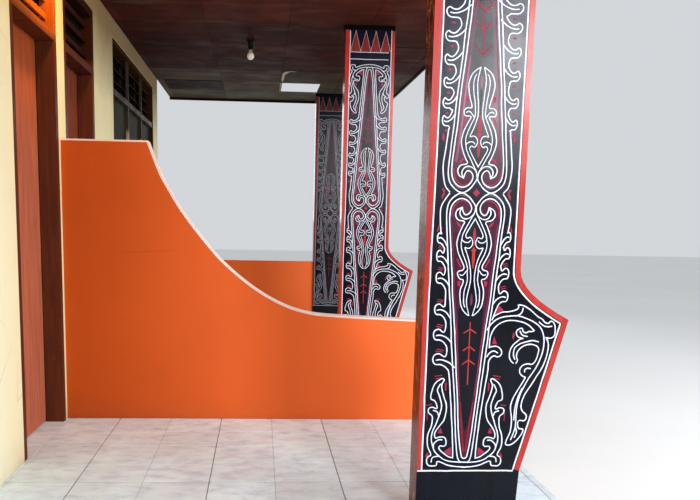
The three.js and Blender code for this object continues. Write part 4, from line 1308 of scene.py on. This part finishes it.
def make_torn_wood():
    rng = random.Random(5)
    verts, faces = [], []
    for _ in range(SLIVERS):
        y = rng.uniform(HOLE_LOW[1] + CORNER_MARGIN, HOLE_HIGH[1] - CORNER_MARGIN)
        run = [rng.uniform(*reach) for reach in LONG_EDGE_RUN]
        root = (HOLE_LOW[0] - SLIVER_ROOT, y, CEILING + rng.uniform(*SLIVER_LIFT))
        add_sliver(verts, faces, root, run, (0, rng.uniform(*SLIVER_HALF_W), 0))
    for _ in range(SLIVERS // 2):
        x = rng.uniform(HOLE_LOW[0] + CORNER_MARGIN, HOLE_HIGH[0] - CORNER_MARGIN)
        y, turn = rng.choice(((HOLE_LOW[1] - SLIVER_ROOT, 1), (HOLE_HIGH[1] + SLIVER_ROOT, -1)))
        run = [rng.uniform(*reach) for reach in END_RUN]
        run[1] *= turn
        root = (x, y, CEILING + rng.uniform(*SLIVER_LIFT))
        add_sliver(verts, faces, root, run, (rng.uniform(*SLIVER_HALF_W), 0, 0))
    add_sliver(verts, faces, CHIP_ROOT, CHIP_RUN, (CHIP_HALF_W, 0, 0), CHIP_T)

    start = len(verts)
    rows = [[p + (q - p) * k / FLAKE_STEPS for p, q in zip(a, b)]
            for a, b in zip(FLAKE, FLAKE[1:]) for k in range(FLAKE_STEPS)]
    for i, (x, y, width) in enumerate(rows):
        before, after = rows[max(i - 1, 0)], rows[min(i + 1, len(rows) - 1)]
        run = Vector((after[0] - before[0], after[1] - before[1])).normalized()
        side = Vector((-run.y, run.x)) * width / 2
        for edge, lift in FLAKE_SECTION:
            ragged = rng.uniform(-FLAKE_RAGGED, FLAKE_RAGGED) if abs(edge) == 1 else 0
            place = (x + side.x * edge + ragged, y + side.y * edge)
            verts.append((*place, FLAKE_Z + lift))
            verts.append((*place, FLAKE_Z + lift + FLAKE_T))
    ring = 2 * len(FLAKE_SECTION)
    for a in range(start, start + ring * (len(rows) - 1), ring):
        b = a + ring
        for j in (0, 2):
            faces.append([a + j, b + j, b + j + 2, a + j + 2])
            faces.append([a + j + 1, a + j + 3, b + j + 3, b + j + 1])
        faces.append([a, a + 1, b + 1, b])
        faces.append([a + ring - 2, b + ring - 2, b + ring - 1, a + ring - 1])
    piece = make_object("torn_board_edges", verts, faces, [TORN])
    finish_piece(piece)


# Roofing: corrugated zinc sheets, lapped side by side, with screws through their crests

ROOF_SLOPE = math.radians(15)
ROOF_LOW, ROOF_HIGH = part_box("roof_sheet")
ROOF_T = 0.018
ROOF_RISE = ROOF_T / math.cos(ROOF_SLOPE)
WAVE = 0.076
WAVE_STEPS = 10
UNDER_ROOF = 0.004
WAVE_H = ROOF_RISE - UNDER_ROOF
SHEET_T = 0.0009
SHEET_LIFT, LAP_LIFT = 0.001, 0.0006
SHEET_COUNT = 14
SHEET_LAP = WAVE * 0.9
SHEET_ROWS = 7
SCREW_EVERY = 4
SCREW_ROWS = (0.04, 0.36, 0.68, 0.97)
WASHER_R, WASHER_T, WASHER_SIDES = 0.011, 0.002, 12
HEAD_R, HEAD_T, HEAD_SIDES = 0.006, 0.006, 6
WASHER_SUNK = 0.001


def add_disc(verts, faces, foot, radius, thick, sides):
    """A short upright prism with a flat top."""
    start = len(verts)
    for lift in (0, thick):
        for i in range(sides):
            turn = 2 * math.pi * i / sides
            x, y = foot[0] + radius * math.cos(turn), foot[1] + radius * math.sin(turn)
            verts.append((x, y, foot[2] + lift))
    for i in range(sides):
        j = (i + 1) % sides
        faces.append([start + i, start + j, start + sides + j, start + sides + i])
    faces.append([start + sides + i for i in range(sides)])
    faces.append([start + i for i in reversed(range(sides))])


def roof_line(share):
    """Place across the roof and height of its underside, from the house (0) to the eave (1)."""
    x = ROOF_LOW.x + (ROOF_HIGH.x - ROOF_LOW.x) * share
    return x, ROOF_LOW.z + (ROOF_HIGH.x - x) * math.tan(ROOF_SLOPE)


def make_screws():
    """Roofing screws on the lines of the timbers."""
    crest = WAVE_H + SHEET_LIFT + LAP_LIFT + SHEET_T
    verts, faces = [], []
    for share in SCREW_ROWS:
        x, base = roof_line(share)
        for i in range(1, int((ROOF_HIGH.y - ROOF_LOW.y) / WAVE), SCREW_EVERY):
            y = ROOF_LOW.y + i * WAVE
            add_disc(verts, faces, (x, y, base + crest - WASHER_SUNK), WASHER_R, WASHER_T, WASHER_SIDES)
            add_disc(verts, faces, (x, y, base + crest), HEAD_R, HEAD_T, HEAD_SIDES)
    piece = make_object("roof_screws", verts, faces, [STEEL])
    finish_piece(piece)


def make_roof():
    pitch = (ROOF_HIGH.y - ROOF_LOW.y) / SHEET_COUNT
    verts, faces = [], []
    for number in range(SHEET_COUNT):
        y0 = ROOF_LOW.y + number * pitch
        y1 = min(y0 + pitch + SHEET_LAP, ROOF_HIGH.y)
        count = int((y1 - y0) / WAVE * WAVE_STEPS)
        start = len(verts)
        lift = SHEET_LIFT + (LAP_LIFT if number % 2 else 0.0)
        for side in (1, 0):
            for row in range(SHEET_ROWS + 1):
                x, base = roof_line(row / SHEET_ROWS)
                for i in range(count + 1):
                    y = y0 + (y1 - y0) * i / count
                    wave = 0.5 + 0.5 * math.cos((y - ROOF_LOW.y) / WAVE * 2 * math.pi)
                    verts.append((x, y, base + WAVE_H * wave + lift + side * SHEET_T))
        width = count + 1
        other = width * (SHEET_ROWS + 1)
        for row in range(SHEET_ROWS):
            for i in range(count):
                a = start + row * width + i
                b = a + other
                faces.append((a, a + width, a + width + 1, a + 1))
                faces.append((b, b + 1, b + width + 1, b + width))
        for i in range(count):
            a, b = start + i, start + SHEET_ROWS * width + i
            faces.append((a, a + 1, a + 1 + other, a + other))
            faces.append((b + 1, b, b + other, b + 1 + other))
        for row in range(SHEET_ROWS):
            a, b = start + row * width, start + row * width + count
            faces.append((a + width, a, a + other, a + width + other))
            faces.append((b, b + width, b + width + other, b + other))
    piece = make_object("corrugated_roof", verts, faces, [ZINC], smooth=True)
    finish_piece(piece, replaced=["roof_sheet"])


# Fly screens behind the bars over the doors and behind the windows, their near-black netting painted shade of
# the rooms behind

SCREEN_T = 0.0015
TRANSOM_SCREEN_X = WALL_X - 0.077
WINDOW_SCREEN_X = WALL_X - 0.145
TRANSOM_MARGIN = 0.03
TRANSOM_OVERLAP = 0.004
WINDOW_MARGIN = 0.008
SCREEN_BATTEN_W, SCREEN_BATTEN_T = 0.034, 0.004
SCREEN_BEVEL = 0.0008
SCREEN_MULLIONS = 3


def make_screens():
    for place in PLACES:
        low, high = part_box(f"door_frame_{place}")
        parts = Boxes()
        parts.add((TRANSOM_SCREEN_X, low.y + TRANSOM_MARGIN, DOOR_RAIL - TRANSOM_OVERLAP),
                  (TRANSOM_SCREEN_X + SCREEN_T, high.y - TRANSOM_MARGIN, high.z - TRANSOM_MARGIN))
        finish_piece(parts.build(f"transom_screen_{place}", [SCREEN]))

        low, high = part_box(f"window_frame_{place}")
        y0, y1 = low.y + WINDOW_MARGIN, high.y - WINDOW_MARGIN
        z0, z1 = low.z + WINDOW_MARGIN, high.z - WINDOW_MARGIN
        parts = Boxes()
        parts.add((WINDOW_SCREEN_X, y0, z0), (WINDOW_SCREEN_X + SCREEN_T, y1, z1))
        back, front = WINDOW_SCREEN_X - SCREEN_BATTEN_T, WINDOW_SCREEN_X
        step = (y1 - y0 - SCREEN_BATTEN_W) / SCREEN_MULLIONS
        for i in range(SCREEN_MULLIONS + 1):
            y = y0 + i * step
            parts.add((back, y, z0), (front, y + SCREEN_BATTEN_W, z1), index=1)
        for z in (z0, WINDOW_RAIL - SCREEN_BATTEN_W / 2, z1 - SCREEN_BATTEN_W):
            for i in range(SCREEN_MULLIONS):
                y = y0 + i * step + SCREEN_BATTEN_W
                parts.add((back, y, z), (front, y + step - SCREEN_BATTEN_W, z + SCREEN_BATTEN_W), index=1)
        piece = parts.build(f"window_screen_{place}", [SCREEN, FRAME_LONG])
        add_bevel(piece, SCREEN_BEVEL, 1)
        finish_piece(piece)


make_camera()
make_stage()
make_floor()
dress_solids()
for number, (low, high) in enumerate(POSTS, 1):
    make_ornament(number, low, high)
make_ceiling()
make_torn_wood()
make_roof()
make_screws()
make_screens()
